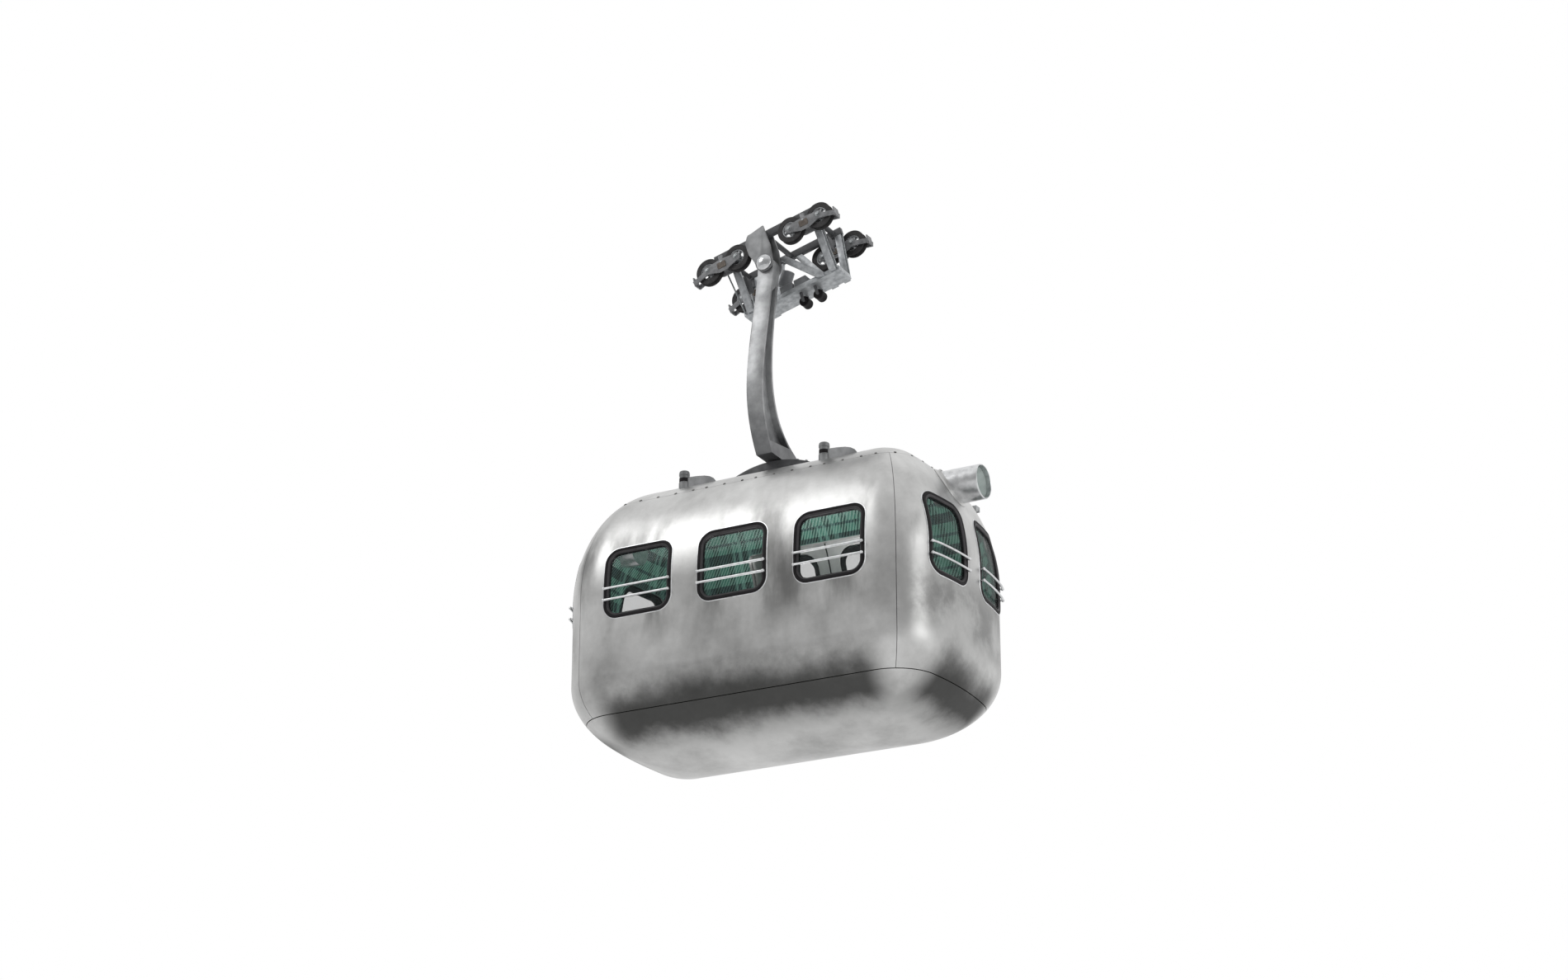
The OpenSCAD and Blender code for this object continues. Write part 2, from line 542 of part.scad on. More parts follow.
module brake_units() color("dimgray") on_carriage() for (u = [-395, 440]) {
  translate([u - 40, -45, -55]) cube([80, 90, 130]);
  translate([u > 0 ? cross_u[2] : cross_u[0], 0, 70]) cylinder(r = 18, h = beam_w0 + beam_h / 2 - cross_r - 70 - fit);
}
// A round bar from p to q
module rod(p, q, d) translate(p) rotate([0, acos((q - p)[2] / norm(q - p)), atan2((q - p)[1], (q - p)[0])])
  cylinder(d = d, h = norm(q - p));
module tie_rods() color("silver") on_carriage() both_y() for (u = [[-420, -462], [516, 516]])
  rod([u[0], tray_w / 2 + 9, -tray_drop + 20], [u[1], beam_y, beam_w0 - 1.9], 14);
roller_u = [107, 251];
roller_w = -tray_drop - 82;
roller_l = 96;
module roller_brackets() color("dimgray") on_carriage() for (u = roller_u) {
  for (s = [-1, 1]) translate([u - 14, s * (roller_l / 2 + clear + 4) - 4, roller_w]) {
    cube([28, 8, -roller_w - tray_drop - fit]);
  }
  translate([u, 0, roller_w]) rotate([90, 0, 0]) cylinder(d = 24, h = roller_l + 2 * clear + 16, center = true);
}
module guide_roller(u) color("black") on_carriage() translate([u, 0, roller_w]) rotate([90, 0, 0]) difference() {
  cylinder(d = roller_d, h = roller_l, center = true);
  cylinder(r = 12 + run, h = roller_l + 2, center = true);
}
module guide_roller_front() guide_roller(roller_u[1]);
module guide_roller_rear() guide_roller(roller_u[0]);

// ---- Bogies and wheels ----
wheel_up = groove_r + rope_d / 2;        // wheel centre above the rope's middle
cheek_t = 12;
cheek_gap = 8;
cheek_y = wheel_w / 2 + cheek_gap;
half_pitch = wheel_pitch / 2;
module cheek(out) linear_extrude(cheek_t) {
    for (s = [-1, 1]) translate([s * half_pitch, wheel_up]) circle(r = 40);
    polygon([[-half_pitch - 30, wheel_up + 26], [-half_pitch, wheel_up - 40], [-40, 26], [40, 26],
      [half_pitch, wheel_up - 40], [half_pitch + 30, wheel_up + 26], [40, wheel_up + 40], [-40, wheel_up + 40]]);
    polygon([[out * half_pitch, wheel_up - 40], [out * (half_pitch + 150), rope_d / 2 + 6],
      [out * (half_pitch + 160), 60], [out * half_pitch, wheel_up + 10]]);
}
module bogie(u, side) color("slategray") on_carriage() translate([u, side * rope_y, 0]) {
  for (y = [-cheek_y - cheek_t, cheek_y]) translate([0, y + cheek_t, 0]) rotate([90, 0, 0]) cheek(sign(u));
  for (s = [-1, 1]) translate([s * half_pitch, 0, wheel_up]) rotate([90, 0, 0])
    cylinder(d = axle_d, h = 2 * cheek_y + eps, center = true);
  translate([-20, -cheek_y - eps, 60]) cube([40, 2 * cheek_y + 2 * eps, 130]);
  translate([-24, side > 0 ? -cheek_y - cheek_t - 26 : cheek_y + cheek_t - 10, 130]) cube([48, 36, beam_w0 - 130 - fit]);
  translate([sign(u) * (half_pitch + 150) - 6, -cheek_y - eps, rope_d / 2 + 6]) cube([12, 2 * cheek_y + 2 * eps, 84]);
}
module bogie_near_front() bogie(bogie_pitch / 2, -1);
module bogie_near_rear() bogie(-bogie_pitch / 2, -1);
module bogie_far_front() bogie(bogie_pitch / 2, 1);
module bogie_far_rear() bogie(-bogie_pitch / 2, 1);
module wheel(u, side) color("dimgray") on_carriage() translate([u, side * rope_y, wheel_up]) rotate([90, 0, 0])
  difference() {
    rotate_extrude($fn = 96) polygon([[axle_d / 2 + run, -wheel_w / 2], [wheel_d / 2, -wheel_w / 2],
      [wheel_d / 2, -wheel_w / 2 + 8], [groove_r + 6, -rope_d / 2], [groove_r, -6], [groove_r, 6],
      [groove_r + 6, rope_d / 2], [wheel_d / 2, wheel_w / 2 - 8], [wheel_d / 2, wheel_w / 2],
      [axle_d / 2 + run, wheel_w / 2]]);
    for (a = [0, 120, 240]) rotate([0, 0, a]) translate([52, 0, 0]) cylinder(r = 16, h = wheel_w + 2, center = true);
  }
wheel_us = [for (b = [-1, 1], s = [-1, 1]) b * bogie_pitch / 2 + s * half_pitch];
module wheel_1() wheel(wheel_us[0], -1);
module wheel_2() wheel(wheel_us[1], -1);
module wheel_3() wheel(wheel_us[2], -1);
module wheel_4() wheel(wheel_us[3], -1);
module wheel_5() wheel(wheel_us[0], 1);
module wheel_6() wheel(wheel_us[1], 1);
module wheel_7() wheel(wheel_us[2], 1);
module wheel_8() wheel(wheel_us[3], 1);

roof_shell();
near_wall();
far_wall();
front_end();
rear_end();
lower_hull();
floor_deck();
wall_lining();
ceiling_lining();
window_frames();
window_glass();
side_guard_bars();
end_guard_bars();
lamp_housings();
lamp_lenses();
roof_posts();
door_rails();
door_leaf_front();
door_leaf_rear();
door_glass_front();
door_glass_rear();
hanger_arm();
hanger_foot();
pivot_pin();
head_plate();
side_beams();
cross_tubes();
carriage_posts();
carriage_braces();
service_tray();
control_boxes();
drive_motor();
brake_units();
tie_rods();
roller_brackets();
bogie_near_front();
bogie_near_rear();
bogie_far_front();
bogie_far_rear();
wheel_1();
wheel_2();
wheel_3();
wheel_4();
wheel_5();
wheel_6();
wheel_7();
wheel_8();
guide_roller_front();
guide_roller_rear();
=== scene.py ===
"""A cable car cabin on its hanger arm, under the carriage that rolls on two track ropes.

The script follows the car as it is put together: the sheet aluminium shell, its lining and windows,
the fittings on it, the hanger arm, and last the carriage with its bogies. Lengths are in metres.
"""

import json
import math

import bmesh
import bpy
import numpy as np
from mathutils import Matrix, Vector

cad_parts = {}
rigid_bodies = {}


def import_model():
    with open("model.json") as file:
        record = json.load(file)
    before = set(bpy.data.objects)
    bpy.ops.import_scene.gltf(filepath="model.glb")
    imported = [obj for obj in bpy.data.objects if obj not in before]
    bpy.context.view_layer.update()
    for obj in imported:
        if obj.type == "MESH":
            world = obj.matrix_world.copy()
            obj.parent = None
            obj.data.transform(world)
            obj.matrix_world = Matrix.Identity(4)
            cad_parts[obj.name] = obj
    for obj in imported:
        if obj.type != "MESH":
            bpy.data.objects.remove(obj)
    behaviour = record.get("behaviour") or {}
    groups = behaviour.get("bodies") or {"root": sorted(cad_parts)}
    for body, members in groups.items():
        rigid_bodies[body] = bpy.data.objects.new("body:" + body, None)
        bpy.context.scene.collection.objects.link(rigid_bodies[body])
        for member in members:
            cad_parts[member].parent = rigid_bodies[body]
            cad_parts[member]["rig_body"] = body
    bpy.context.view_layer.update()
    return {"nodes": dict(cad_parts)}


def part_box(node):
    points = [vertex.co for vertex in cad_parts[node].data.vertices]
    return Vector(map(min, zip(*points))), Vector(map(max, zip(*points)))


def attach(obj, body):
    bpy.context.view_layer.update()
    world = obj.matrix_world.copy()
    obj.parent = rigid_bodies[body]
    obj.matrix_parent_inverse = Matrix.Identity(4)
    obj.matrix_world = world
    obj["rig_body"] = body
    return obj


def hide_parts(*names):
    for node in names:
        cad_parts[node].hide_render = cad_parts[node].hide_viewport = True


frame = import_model()
nodes = frame["nodes"]

# ---- Camera, floor and studio light ----
# The car hangs in the air, so the camera looks up at it from just above the floor. The studio is a
# pale room: bright above and below, greyer in front of the near side, which gives the metal its tone.

scene = bpy.context.scene
scene.view_settings.view_transform = "Standard"
camera = bpy.data.objects.new("camera", bpy.data.cameras.new("camera"))
camera.location = (12.112, -22.219, -12.058)
camera.rotation_euler = (math.radians(90 + 21.49), 0, math.radians(28.61))
camera.data.lens = 73.2
camera.data.sensor_width = 36
camera.data.clip_end = 400
scene.collection.objects.link(camera)
scene.camera = camera


def tone(code):
    """Turns an sRGB hex colour to the linear colour that a shader takes."""
    part = np.array([int(code[i:i + 2], 16) for i in (1, 3, 5)]) / 255
    return (*np.where(part <= 0.04045, part / 12.92, ((part + 0.055) / 1.055) ** 2.4), 1.0)


def put(tree, kind, inputs=None, stops=(), **settings):
    """Adds one shader node: settings are its properties, inputs gives each socket a value or the output
    that feeds it, and stops are the places and colours of a colour ramp."""
    node = tree.nodes.new("ShaderNode" + kind)
    for key, value in settings.items():
        setattr(node, key, value)
    for key, value in (inputs or {}).items():
        if isinstance(value, bpy.types.NodeSocket):
            tree.links.new(value, node.inputs[key])
        else:
            node.inputs[key].default_value = value
    for i, (place, colour) in enumerate(stops):
        stop = node.color_ramp.elements[i] if i < 2 else node.color_ramp.elements.new(place)
        stop.position = place
        stop.color = tone(colour)
    return node


world = bpy.data.worlds.new("pale studio")
world.use_nodes = True
scene.world = world
tree = world.node_tree
tree.nodes.clear()
way = put(tree, "SeparateXYZ", {"Vector": put(tree, "TexCoord").outputs["Generated"]})
aside = put(tree, "MapRange", {"Value": way.outputs["Y"], "From Min": -0.85, "From Max": 0.15})
height = put(tree, "Math", {0: way.outputs["Z"]}, operation="ABSOLUTE")
steep = put(tree, "MapRange", {"Value": height.outputs[0], "From Min": 0.45, "From Max": 0.95})
open_sky = put(tree, "Math", {0: aside.outputs[0], 1: steep.outputs[0]}, operation="MAXIMUM")
grade = put(tree, "MapRange", {"Value": open_sky.outputs[0], "To Min": 0.42, "To Max": 1.0})
room = put(tree, "Background", {"Color": grade.outputs[0], "Strength": 0.95})
backdrop = put(tree, "Background", {"Color": (1, 1, 1, 1), "Strength": 1.0})
path = put(tree, "LightPath")
seen = put(tree, "Math", {0: path.outputs["Is Camera Ray"], 1: path.outputs["Is Transmission Ray"]},
           operation="MAXIMUM")
sky = put(tree, "MixShader", {0: seen.outputs[0], 1: room.outputs[0], 2: backdrop.outputs[0]})
put(tree, "OutputWorld", {"Surface": sky.outputs[0]})


def lamp(name, place, target, size, power):
    """A square soft light of so many watts, turned to face its target."""
    light = bpy.data.objects.new(name, bpy.data.lights.new(name, "AREA"))
    light.data.size = size
    light.data.energy = power
    light.location = place
    light.rotation_euler = (Vector(target) - Vector(place)).to_track_quat("-Z", "Y").to_euler()
    scene.collection.objects.link(light)


car_middle = (0, 0, -3)
lamp("key light", (-9, -10, 9), car_middle, 7, 480)
lamp("side light", (16, -4, -1), car_middle, 8, 350)


def new_material(name, **surface):
    """A material named for the real one, with its Principled sockets set by name."""
    finish = bpy.data.materials.new(name)
    finish.use_nodes = True
    shader = finish.node_tree.nodes["Principled BSDF"]
    for key, value in surface.items():
        shader.inputs[key.replace("_", " ")].default_value = value
    return finish, finish.node_tree, shader


floor_z = camera.location.z - 0.2
floor_half = 90
floor_mesh = bpy.data.meshes.new("floor")
floor_mesh.from_pydata([(x, y, floor_z) for x, y in ((-1, -1), (1, -1), (1, 1), (-1, 1))], [], [(0, 1, 2, 3)])
floor_mesh.transform(((floor_half, 0, 0, 0), (0, floor_half, 0, 0), (0, 0, 1, 0), (0, 0, 0, 1)))
floor = bpy.data.objects.new("floor", floor_mesh)
scene.collection.objects.link(floor)
# Matt studio floor: plain and pale, so that it only bounces light up at the hull.
studio_floor, tree, shader = new_material("matt studio floor", Roughness=0.9)
shader.inputs["Base Color"].default_value = tone("#F2F2F2")
floor_mesh.materials.append(studio_floor)

# ---- Cabin shell ----
# The cabin is a monocoque of stretch-formed sheet aluminium on hidden ribs: a roof dish, two side
# panels, two bowed ends and a hull. The sheets butt at the seams and are riveted and sealed there.

roof_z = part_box("roof_shell")[1].z
cabin_h = 2.46
keel_z = roof_z - cabin_h
half_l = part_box("front_end")[1].x
half_w = -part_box("near_wall")[0].y
wall_t = 0.04
bilge_in, bilge_h = 0.979, 0.672          # lower quarter ellipse of the section
shoulder_in, shoulder_h = 0.714, 1.068    # upper quarter ellipse
shoulder_z = cabin_h - shoulder_h
bow_r = 3.2                               # bow of the ends in plan
corner_r, corner_min = 0.43, 0.1          # plan corner at the waist, and the least it gets
roof_seam, hull_seam = 0.625, -0.32       # seams, as shares of a quarter turn of the section
seam_gap = 0.0025
corner_share = 2 / 3                      # share of each corner that belongs to the end panels
panel_end = 1 + corner_share              # where an end panel stops along the outline
half_round = 3                            # outline length of a quarter: bow, corner and flat side


def section(share, depth):
    """Inset and height of the wall. Above zero the share runs up the shoulder's quarter ellipse, and
    below zero down the bilge's; depth is measured in from the skin."""
    share = np.asarray(share, float)
    up = share >= 0
    turn = np.abs(share) * math.pi / 2
    reach = np.where(up, shoulder_in, bilge_in) - depth
    rise = np.where(up, shoulder_h, bilge_h) - depth
    inset = depth + reach * (1 - np.cos(turn))
    return inset, np.where(up, shoulder_z + rise * np.sin(turn), bilge_h - rise * np.sin(turn))


def outline(inset, where):
    """Plan outline of the shell at an inset. where runs 0 to 1 along half the bowed end, to 2 round the
    corner, to 3 along half the flat side, then on mirrored to 6; below zero it is on the near side."""
    where = (where + 2 * half_round) % (4 * half_round) - 2 * half_round
    quarter = np.abs(where)
    rear = quarter > half_round
    quarter = np.where(rear, 2 * half_round - quarter, quarter)
    a, b = half_l - inset, half_w - inset
    r = np.minimum(np.maximum(corner_min, corner_r - inset / 2), 0.95 * b)
    cx, cy = a - bow_r, b - r
    fx = cx + np.sqrt((bow_r - r) ** 2 - cy ** 2)
    knee = np.arctan2(cy, fx - cx)
    bow = knee * np.clip(quarter, 0, 1)
    round_corner = knee + (math.pi / 2 - knee) * np.clip(quarter - 1, 0, 1)
    x = np.where(quarter < 1, cx + bow_r * np.cos(bow), fx + r * np.cos(round_corner))
    y = np.where(quarter < 1, bow_r * np.sin(bow), cy + r * np.sin(round_corner))
    x = np.where(quarter > 2, fx * (3 - quarter), x)
    return np.where(rear, -x, x), np.where(where < 0, -y, y)


def skin(shares, wheres, depth):
    """Grid of points on the shell, rows up the section and columns round the outline."""
    inset, z = section(np.asarray(shares)[:, None], depth)
    x, y = outline(inset, np.asarray(wheres)[None, :])
    return np.stack([x, y, np.broadcast_to(keel_z + z, x.shape)], -1)


def quads(rows, cols, wrap=False):
    """Faces of a grid of points counted row by row; wrap joins the last column to the first."""
    r, c = np.meshgrid(np.arange(rows - 1), np.arange(cols if wrap else cols - 1), indexing="ij")
    a, b = (r * cols + c).ravel(), (r * cols + (c + 1) % cols).ravel()
    return np.stack([a, b, b + cols, a + cols], 1)


def slab(outer, inner, rims=(0, -1), wrap=False):
    """Points and faces of a closed sheet between two like grids: both faces, a rim along each row named
    in rims, and rims along the first and last columns unless the grid wraps round."""
    rows, cols = outer.shape[:2]
    index = np.arange(rows * cols).reshape(rows, cols)
    back = rows * cols
    faces = [quads(rows, cols, wrap), quads(rows, cols, wrap)[:, ::-1] + back]
    lines = [np.append(index[r], index[r, 0]) if wrap else index[r] for r in rims]
    lines += [] if wrap else [index[:, 0], index[:, -1]]
    faces += [np.stack([line[:-1], line[1:], line[1:] + back, line[:-1] + back], 1) for line in lines]
    return np.concatenate([outer.reshape(-1, 3), inner.reshape(-1, 3)]), np.concatenate(faces).tolist()


def joined(parts):
    """One set of points and faces from several."""
    starts = np.cumsum([0] + [len(points) for points, _ in parts])
    faces = [[v + int(start) for v in face] for start, (_, own) in zip(starts, parts) for face in own]
    return np.concatenate([points for points, _ in parts]), faces


def tidy(mesh, crease):
    """Merges doubles, turns the faces outwards, and shades smooth but for edges over crease degrees."""
    work = bmesh.new()
    work.from_mesh(mesh)
    bmesh.ops.remove_doubles(work, verts=work.verts, dist=2e-5)
    bmesh.ops.dissolve_degenerate(work, edges=work.edges, dist=1e-6)
    bmesh.ops.recalc_face_normals(work, faces=work.faces)
    work.to_mesh(mesh)
    work.free()
    mesh.polygons.foreach_set("use_smooth", np.ones(len(mesh.polygons), bool))
    mesh.set_sharp_from_angle(angle=math.radians(crease))


def piece(name, shape, finish, body, stands_for=(), crease=32, lay=None):
    """Makes one finished piece of points and faces, rides it on its body and gives it its finish. lay gives
    each point its place on the cloth, kept as a UV map."""
    points, faces = shape
    mesh = bpy.data.meshes.new(name)
    mesh.from_pydata(points.tolist(), [], faces)
    if lay is not None:
        corners = np.empty(len(mesh.loops), int)
        mesh.loops.foreach_get("vertex_index", corners)
        mesh.uv_layers.new(name="lay").data.foreach_set("uv", lay[corners].ravel())
    tidy(mesh, crease)
    mesh.materials.append(finish)
    made = bpy.data.objects.new(name, mesh)
    scene.collection.objects.link(made)
    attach(made, body)
    if stands_for:
        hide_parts(*stands_for)
    return made


def bake_modifiers(made, crease=32):
    """Applies a piece's modifiers to its mesh."""
    graph = bpy.context.evaluated_depsgraph_get()
    graph.update()
    mesh = bpy.data.meshes.new_from_object(made.evaluated_get(graph))
    made.modifiers.clear()
    made.data = mesh
    mesh.set_sharp_from_angle(angle=math.radians(crease))


def cut(made, cutters, crease=32):
    """Cuts closed shapes out of a piece with one exact boolean."""
    points, faces = joined(cutters)
    mesh = bpy.data.meshes.new("cutter")
    mesh.from_pydata(points.tolist(), [], faces)
    tidy(mesh, crease)
    tool = bpy.data.objects.new("cutter", mesh)
    scene.collection.objects.link(tool)
    boolean = made.modifiers.new("cut", "BOOLEAN")
    boolean.operation, boolean.solver, boolean.object = "DIFFERENCE", "EXACT", tool
    bake_modifiers(made, crease)
    bpy.data.objects.remove(tool)


def rounded(width, height, radius, steps=9, fill=0):
    """Outline of a rounded rectangle about the origin: four quarter arcs, anticlockwise, with fill extra
    points along each straight run so that it can follow a curved wall."""
    turn = np.exp(1j * np.linspace(0, math.pi / 2, steps))
    middle = (width / 2 - radius) + 1j * (height / 2 - radius)
    middles = [middle, complex(-middle.real, middle.imag), -middle, complex(middle.real, -middle.imag)]
    arcs = [c + radius * turn * 1j ** k for k, c in enumerate(middles)]
    runs = [np.linspace(arc[-1], arcs[(k + 1) % 4][0], fill + 2)[1:-1] for k, arc in enumerate(arcs)]
    ring = np.concatenate([part for pair in zip(arcs, runs) for part in pair])
    return np.stack([ring.real, ring.imag], -1)


def loft(rings, capped=True):
    """Points and faces of a tube through closed rings of points, with flat caps at its two ends."""
    rows, cols = rings.shape[:2]
    faces = quads(rows, cols, True).tolist()
    if capped:
        faces += [list(range(cols))[::-1], list(range((rows - 1) * cols, rows * cols))]
    return rings.reshape(-1, 3), faces


def plug(ring, middle, depth, along):
    """A straight cutter: the ring's outline about a middle point, run to both sides along X or Y."""
    flat = np.zeros((2, len(ring), 3))
    flat[:, :, 1 if along == "x" else 0] = ring[:, 0]
    flat[:, :, 2] = ring[:, 1]
    flat[:, :, 0 if along == "x" else 1] = np.array([-depth / 2, depth / 2])[:, None]
    return loft(flat + np.array(middle))


# Windows, doorway and lamp bores, as openings in the sheet.
side_pitch, side_win, side_win_z = 0.9, (0.65, 0.63), 1.45
end_win_y, end_win, end_win_z = 0.39, (0.55, 0.73), 1.51
win_r = 0.13
near_xs = (-side_pitch, 0, side_pitch)
door_w, door_z0, door_z1 = 1.48, 0.46, 2.13
lamp_r, lamp_z = 0.148, 2.11
cut_depth = 0.64
near_openings = [plug(rounded(*side_win, win_r), (x, -half_w, keel_z + side_win_z), cut_depth, "y")
                 for x in near_xs]
end_openings = {
    side: [plug(rounded(*end_win, win_r), (side * half_l, y, keel_z + end_win_z), cut_depth, "x")
           for y in (-end_win_y, end_win_y)]
    + [plug(rounded(2 * lamp_r, 2 * lamp_r, lamp_r - 1e-4, 16), (side * half_l, 0, keel_z + lamp_z),
            1.2, "x")]
    for side in (-1, 1)}
doorway = plug(rounded(door_w, door_z1 - door_z0, 0.06), (0, half_w, keel_z + (door_z0 + door_z1) / 2),
               cut_depth, "y")

# Bare aluminium sheet, formed and then weathered: satin grey, cloudy where oxide and handling have
# dulled it. A painted reflection of the darker horizon runs as a dark band along the turn of the bilge; it is
# kept off the corners, where highlights fall, so they stay brighter.
sheet, tree, shader = new_material("weathered sheet aluminium, painted reflection band", Metallic=1.0)
spot = put(tree, "TexCoord").outputs["Object"]
xyz = put(tree, "SeparateXYZ", {"Vector": spot})


def smooth_step(source, low, high):
    """Rises smoothly from 0 to 1 as the source goes from low to high."""
    return put(tree, "MapRange", {"Value": source, "From Min": low, "From Max": high},
               interpolation_type="SMOOTHSTEP").outputs[0]


def combine(operation, first, second):
    """One operation of arithmetic on two values."""
    return put(tree, "Math", {0: first, 1: second}, operation=operation).outputs[0]


cloud = put(tree, "TexNoise", {"Vector": spot, "Scale": 1 / 0.55, "Detail": 6, "Roughness": 0.62}).outputs[0]
fine = put(tree, "TexNoise", {"Vector": spot, "Scale": 1 / 0.07, "Detail": 5, "Roughness": 0.6}).outputs[0]
stretch = put(tree, "Mapping", {"Vector": spot, "Scale": (1.0, 1.0, 0.28)})
streak = put(tree, "TexNoise", {"Vector": stretch.outputs[0], "Scale": 1 / 0.34, "Detail": 5}).outputs[0]
# Painted reflection: a dark band for the horizon reflected in the bilge, by heights above the keel where it
# starts and stops, thinned out toward the corners, where highlights fall.
lift = combine("ADD", xyz.outputs["Z"], -keel_z)
wander = combine("MULTIPLY", combine("SUBTRACT", cloud, 0.5), 0.28)
reflection_band_height = combine("ADD", lift, wander)
band = combine("MULTIPLY", smooth_step(reflection_band_height, 0.06, 0.24), smooth_step(reflection_band_height, 0.66, 0.34))
along_side = put(tree, "Math", {0: xyz.outputs["X"]}, operation="ABSOLUTE").outputs[0]
across = put(tree, "Math", {0: xyz.outputs["Y"]}, operation="ABSOLUTE").outputs[0]
from_corner = combine("MAXIMUM", smooth_step(along_side, 1.42, 1.12), smooth_step(across, 0.66, 0.38))
painted_reflection_band = combine("MULTIPLY", band, from_corner)
# Dull clouds: between the windows, beside the end windows and low on the ends.
on_end = smooth_step(along_side, 1.45, 1.62)
round_windows = combine("MULTIPLY", smooth_step(lift, 0.75, 1.15), smooth_step(lift, 2.15, 1.75))
dull_side = combine("MULTIPLY", smooth_step(streak, 0.44, 0.66), round_windows)
end_low = combine("MULTIPLY", smooth_step(lift, 0.5, 0.85), smooth_step(lift, 1.5, 1.0))
dull_end = combine("MULTIPLY", combine("MULTIPLY", end_low, on_end), smooth_step(cloud, 0.3, 0.6))
dull = combine("MAXIMUM", dull_side, dull_end)
clean = put(tree, "ValToRGB", {"Fac": cloud}, stops=[(0.3, "#ADADAC"), (0.7, "#DADAD9")])
dulled = put(tree, "MixRGB", {"Fac": combine("MULTIPLY", dull, 0.74), "Color1": clean.outputs[0],
                              "Color2": tone("#5A5A59")})
# Painted reflection: the band darkens the colour toward #3C3C3B, while the oxide clouds above are the metal's
# own.
reflection_painted = put(tree, "MixRGB", {"Fac": combine("MULTIPLY", painted_reflection_band, 0.93), "Color1": dulled.outputs[0],
                              "Color2": tone("#3C3C3B")})
grain = put(tree, "MixRGB", {"Fac": 0.10, "Color1": reflection_painted.outputs[0], "Color2": fine}, blend_type="OVERLAY")
matt = combine("ADD", combine("MULTIPLY", cloud, 0.22), combine("MULTIPLY", painted_reflection_band, 0.12))
tree.links.new(grain.outputs[0], shader.inputs["Base Color"])
tree.links.new(combine("ADD", matt, 0.26), shader.inputs["Roughness"])
ripple = put(tree, "Bump", {"Height": cloud, "Strength": 0.05, "Distance": 0.02})
tree.links.new(ripple.outputs[0], shader.inputs["Normal"])

rows = 96                                 # grid rows up a wall panel
wall_shares = np.concatenate([np.linspace(hull_seam, 0, rows // 3), np.linspace(0, roof_seam, rows)])
side_where = np.concatenate([np.linspace(panel_end, 2, 7)[:-1], np.linspace(2, 4, 120),
                             np.linspace(4, 6 - panel_end, 7)[1:]])
end_where = np.concatenate([np.linspace(-panel_end, -1, 26)[:-1], np.linspace(-1, 1, 70),
                            np.linspace(1, panel_end, 26)[1:]])
gap_share = seam_gap / (shoulder_h * math.pi / 2)
gap_where = seam_gap / (corner_r * math.pi / 2)
wall_shares[0] += 2 * gap_share
wall_shares[-1] -= gap_share
side_where[[0, -1]] += (gap_where, -gap_where)
end_where[[0, -1]] += (gap_where, -gap_where)


def wall_panel(name, wheres, openings):
    """One wall panel between the hull seam and the roof seam, cut for its openings."""
    shape = slab(skin(wall_shares, wheres, 0), skin(wall_shares, wheres, wall_t))
    panel = piece(name + "_sheet", shape, sheet, "cabin", [name])
    cut(panel, openings)


def closed_dish(shares, wheres, depth):
    """A dish of the shell whose last rings draw in to a spine along the middle."""
    grid = skin(shares, wheres, depth)
    draw_in = np.linspace(1, 0, 9)[1:, None, None]
    keep = np.ones_like(draw_in)
    spine = np.repeat(grid[-1:], 8, 0) * np.concatenate([keep, draw_in, keep], 2)
    return np.concatenate([grid, spine])


wall_panel("near_wall", -side_where, near_openings)
wall_panel("far_wall", side_where, [doorway])
wall_panel("front_end", end_where, end_openings[1])
wall_panel("rear_end", 6 - end_where, end_openings[-1])
all_round = np.linspace(-6, 6, 321)[:-1]
roof_shares = np.linspace(roof_seam + gap_share, 1, 40)
hull_shares = np.linspace(hull_seam - 2 * gap_share, -0.95, 48)
piece("roof_sheet", slab(closed_dish(roof_shares, all_round, 0), closed_dish(roof_shares, all_round, wall_t),
                         rims=(0,), wrap=True), sheet, "cabin", ["roof_shell"])
piece("hull_sheet", slab(closed_dish(hull_shares, all_round, 0), closed_dish(hull_shares, all_round, wall_t),
                         rims=(0,), wrap=True), sheet, "cabin", ["lower_hull"])

# ---- Roof seam rivets and sealing strips ----
# Round-head rivets hold the roof dish down on the wall panels. They sit close above the seam, one
# every hand's width all round the car, and their heads have darkened.

rivet_pitch, rivet_r, rivet_rise = 0.16, 0.0125, 0.006
rivet_share = 0.633
seat_row = skin([rivet_share, rivet_share + 0.004], all_round, 0)
loop = np.concatenate([seat_row[0], seat_row[0, :1]])
travel = np.concatenate([[0], np.cumsum(np.linalg.norm(np.diff(loop, axis=0), axis=1))])
rivet_n = int(travel[-1] / rivet_pitch)
picks = np.searchsorted(travel, np.arange(rivet_n) * travel[-1] / rivet_n)[:, None] % len(all_round)
seats = seat_row[0, picks[:, 0]]
along = seat_row[0, (picks[:, 0] + 1) % len(all_round)] - seats
along /= np.linalg.norm(along, axis=1, keepdims=True)
rise = seat_row[1, picks[:, 0]] - seats
rise /= np.linalg.norm(rise, axis=1, keepdims=True)
out = np.cross(along, rise)


def heads(seats, along, rise, out, radius, height, sides=10):
    """Domed heads on seats: a ring on the sheet, a smaller ring above it, and a middle point."""
    turn = np.linspace(0, 2 * math.pi, sides, endpoint=False)
    rings = np.array([(1.0, -0.3), (0.97, 0.45), (0.6, 0.9), (0, 1)])
    across = rings[:, :1] * radius
    local = (across * np.cos(turn))[..., None], (across * np.sin(turn))[..., None]
    lift = (rings[:, 1:] * height * np.ones(sides))[..., None]
    grid = seats[:, None, None] + local[0] * along[:, None, None] + local[1] * rise[:, None, None] \
        + lift * out[:, None, None]
    base = quads(len(rings), sides, True)
    count = len(rings) * sides
    faces = (base[None] + count * np.arange(len(seats))[:, None, None]).reshape(-1, 4).tolist()
    faces += [[int(count * i + k) for k in range(sides)] for i in range(len(seats))]
    return grid.reshape(-1, 3), faces


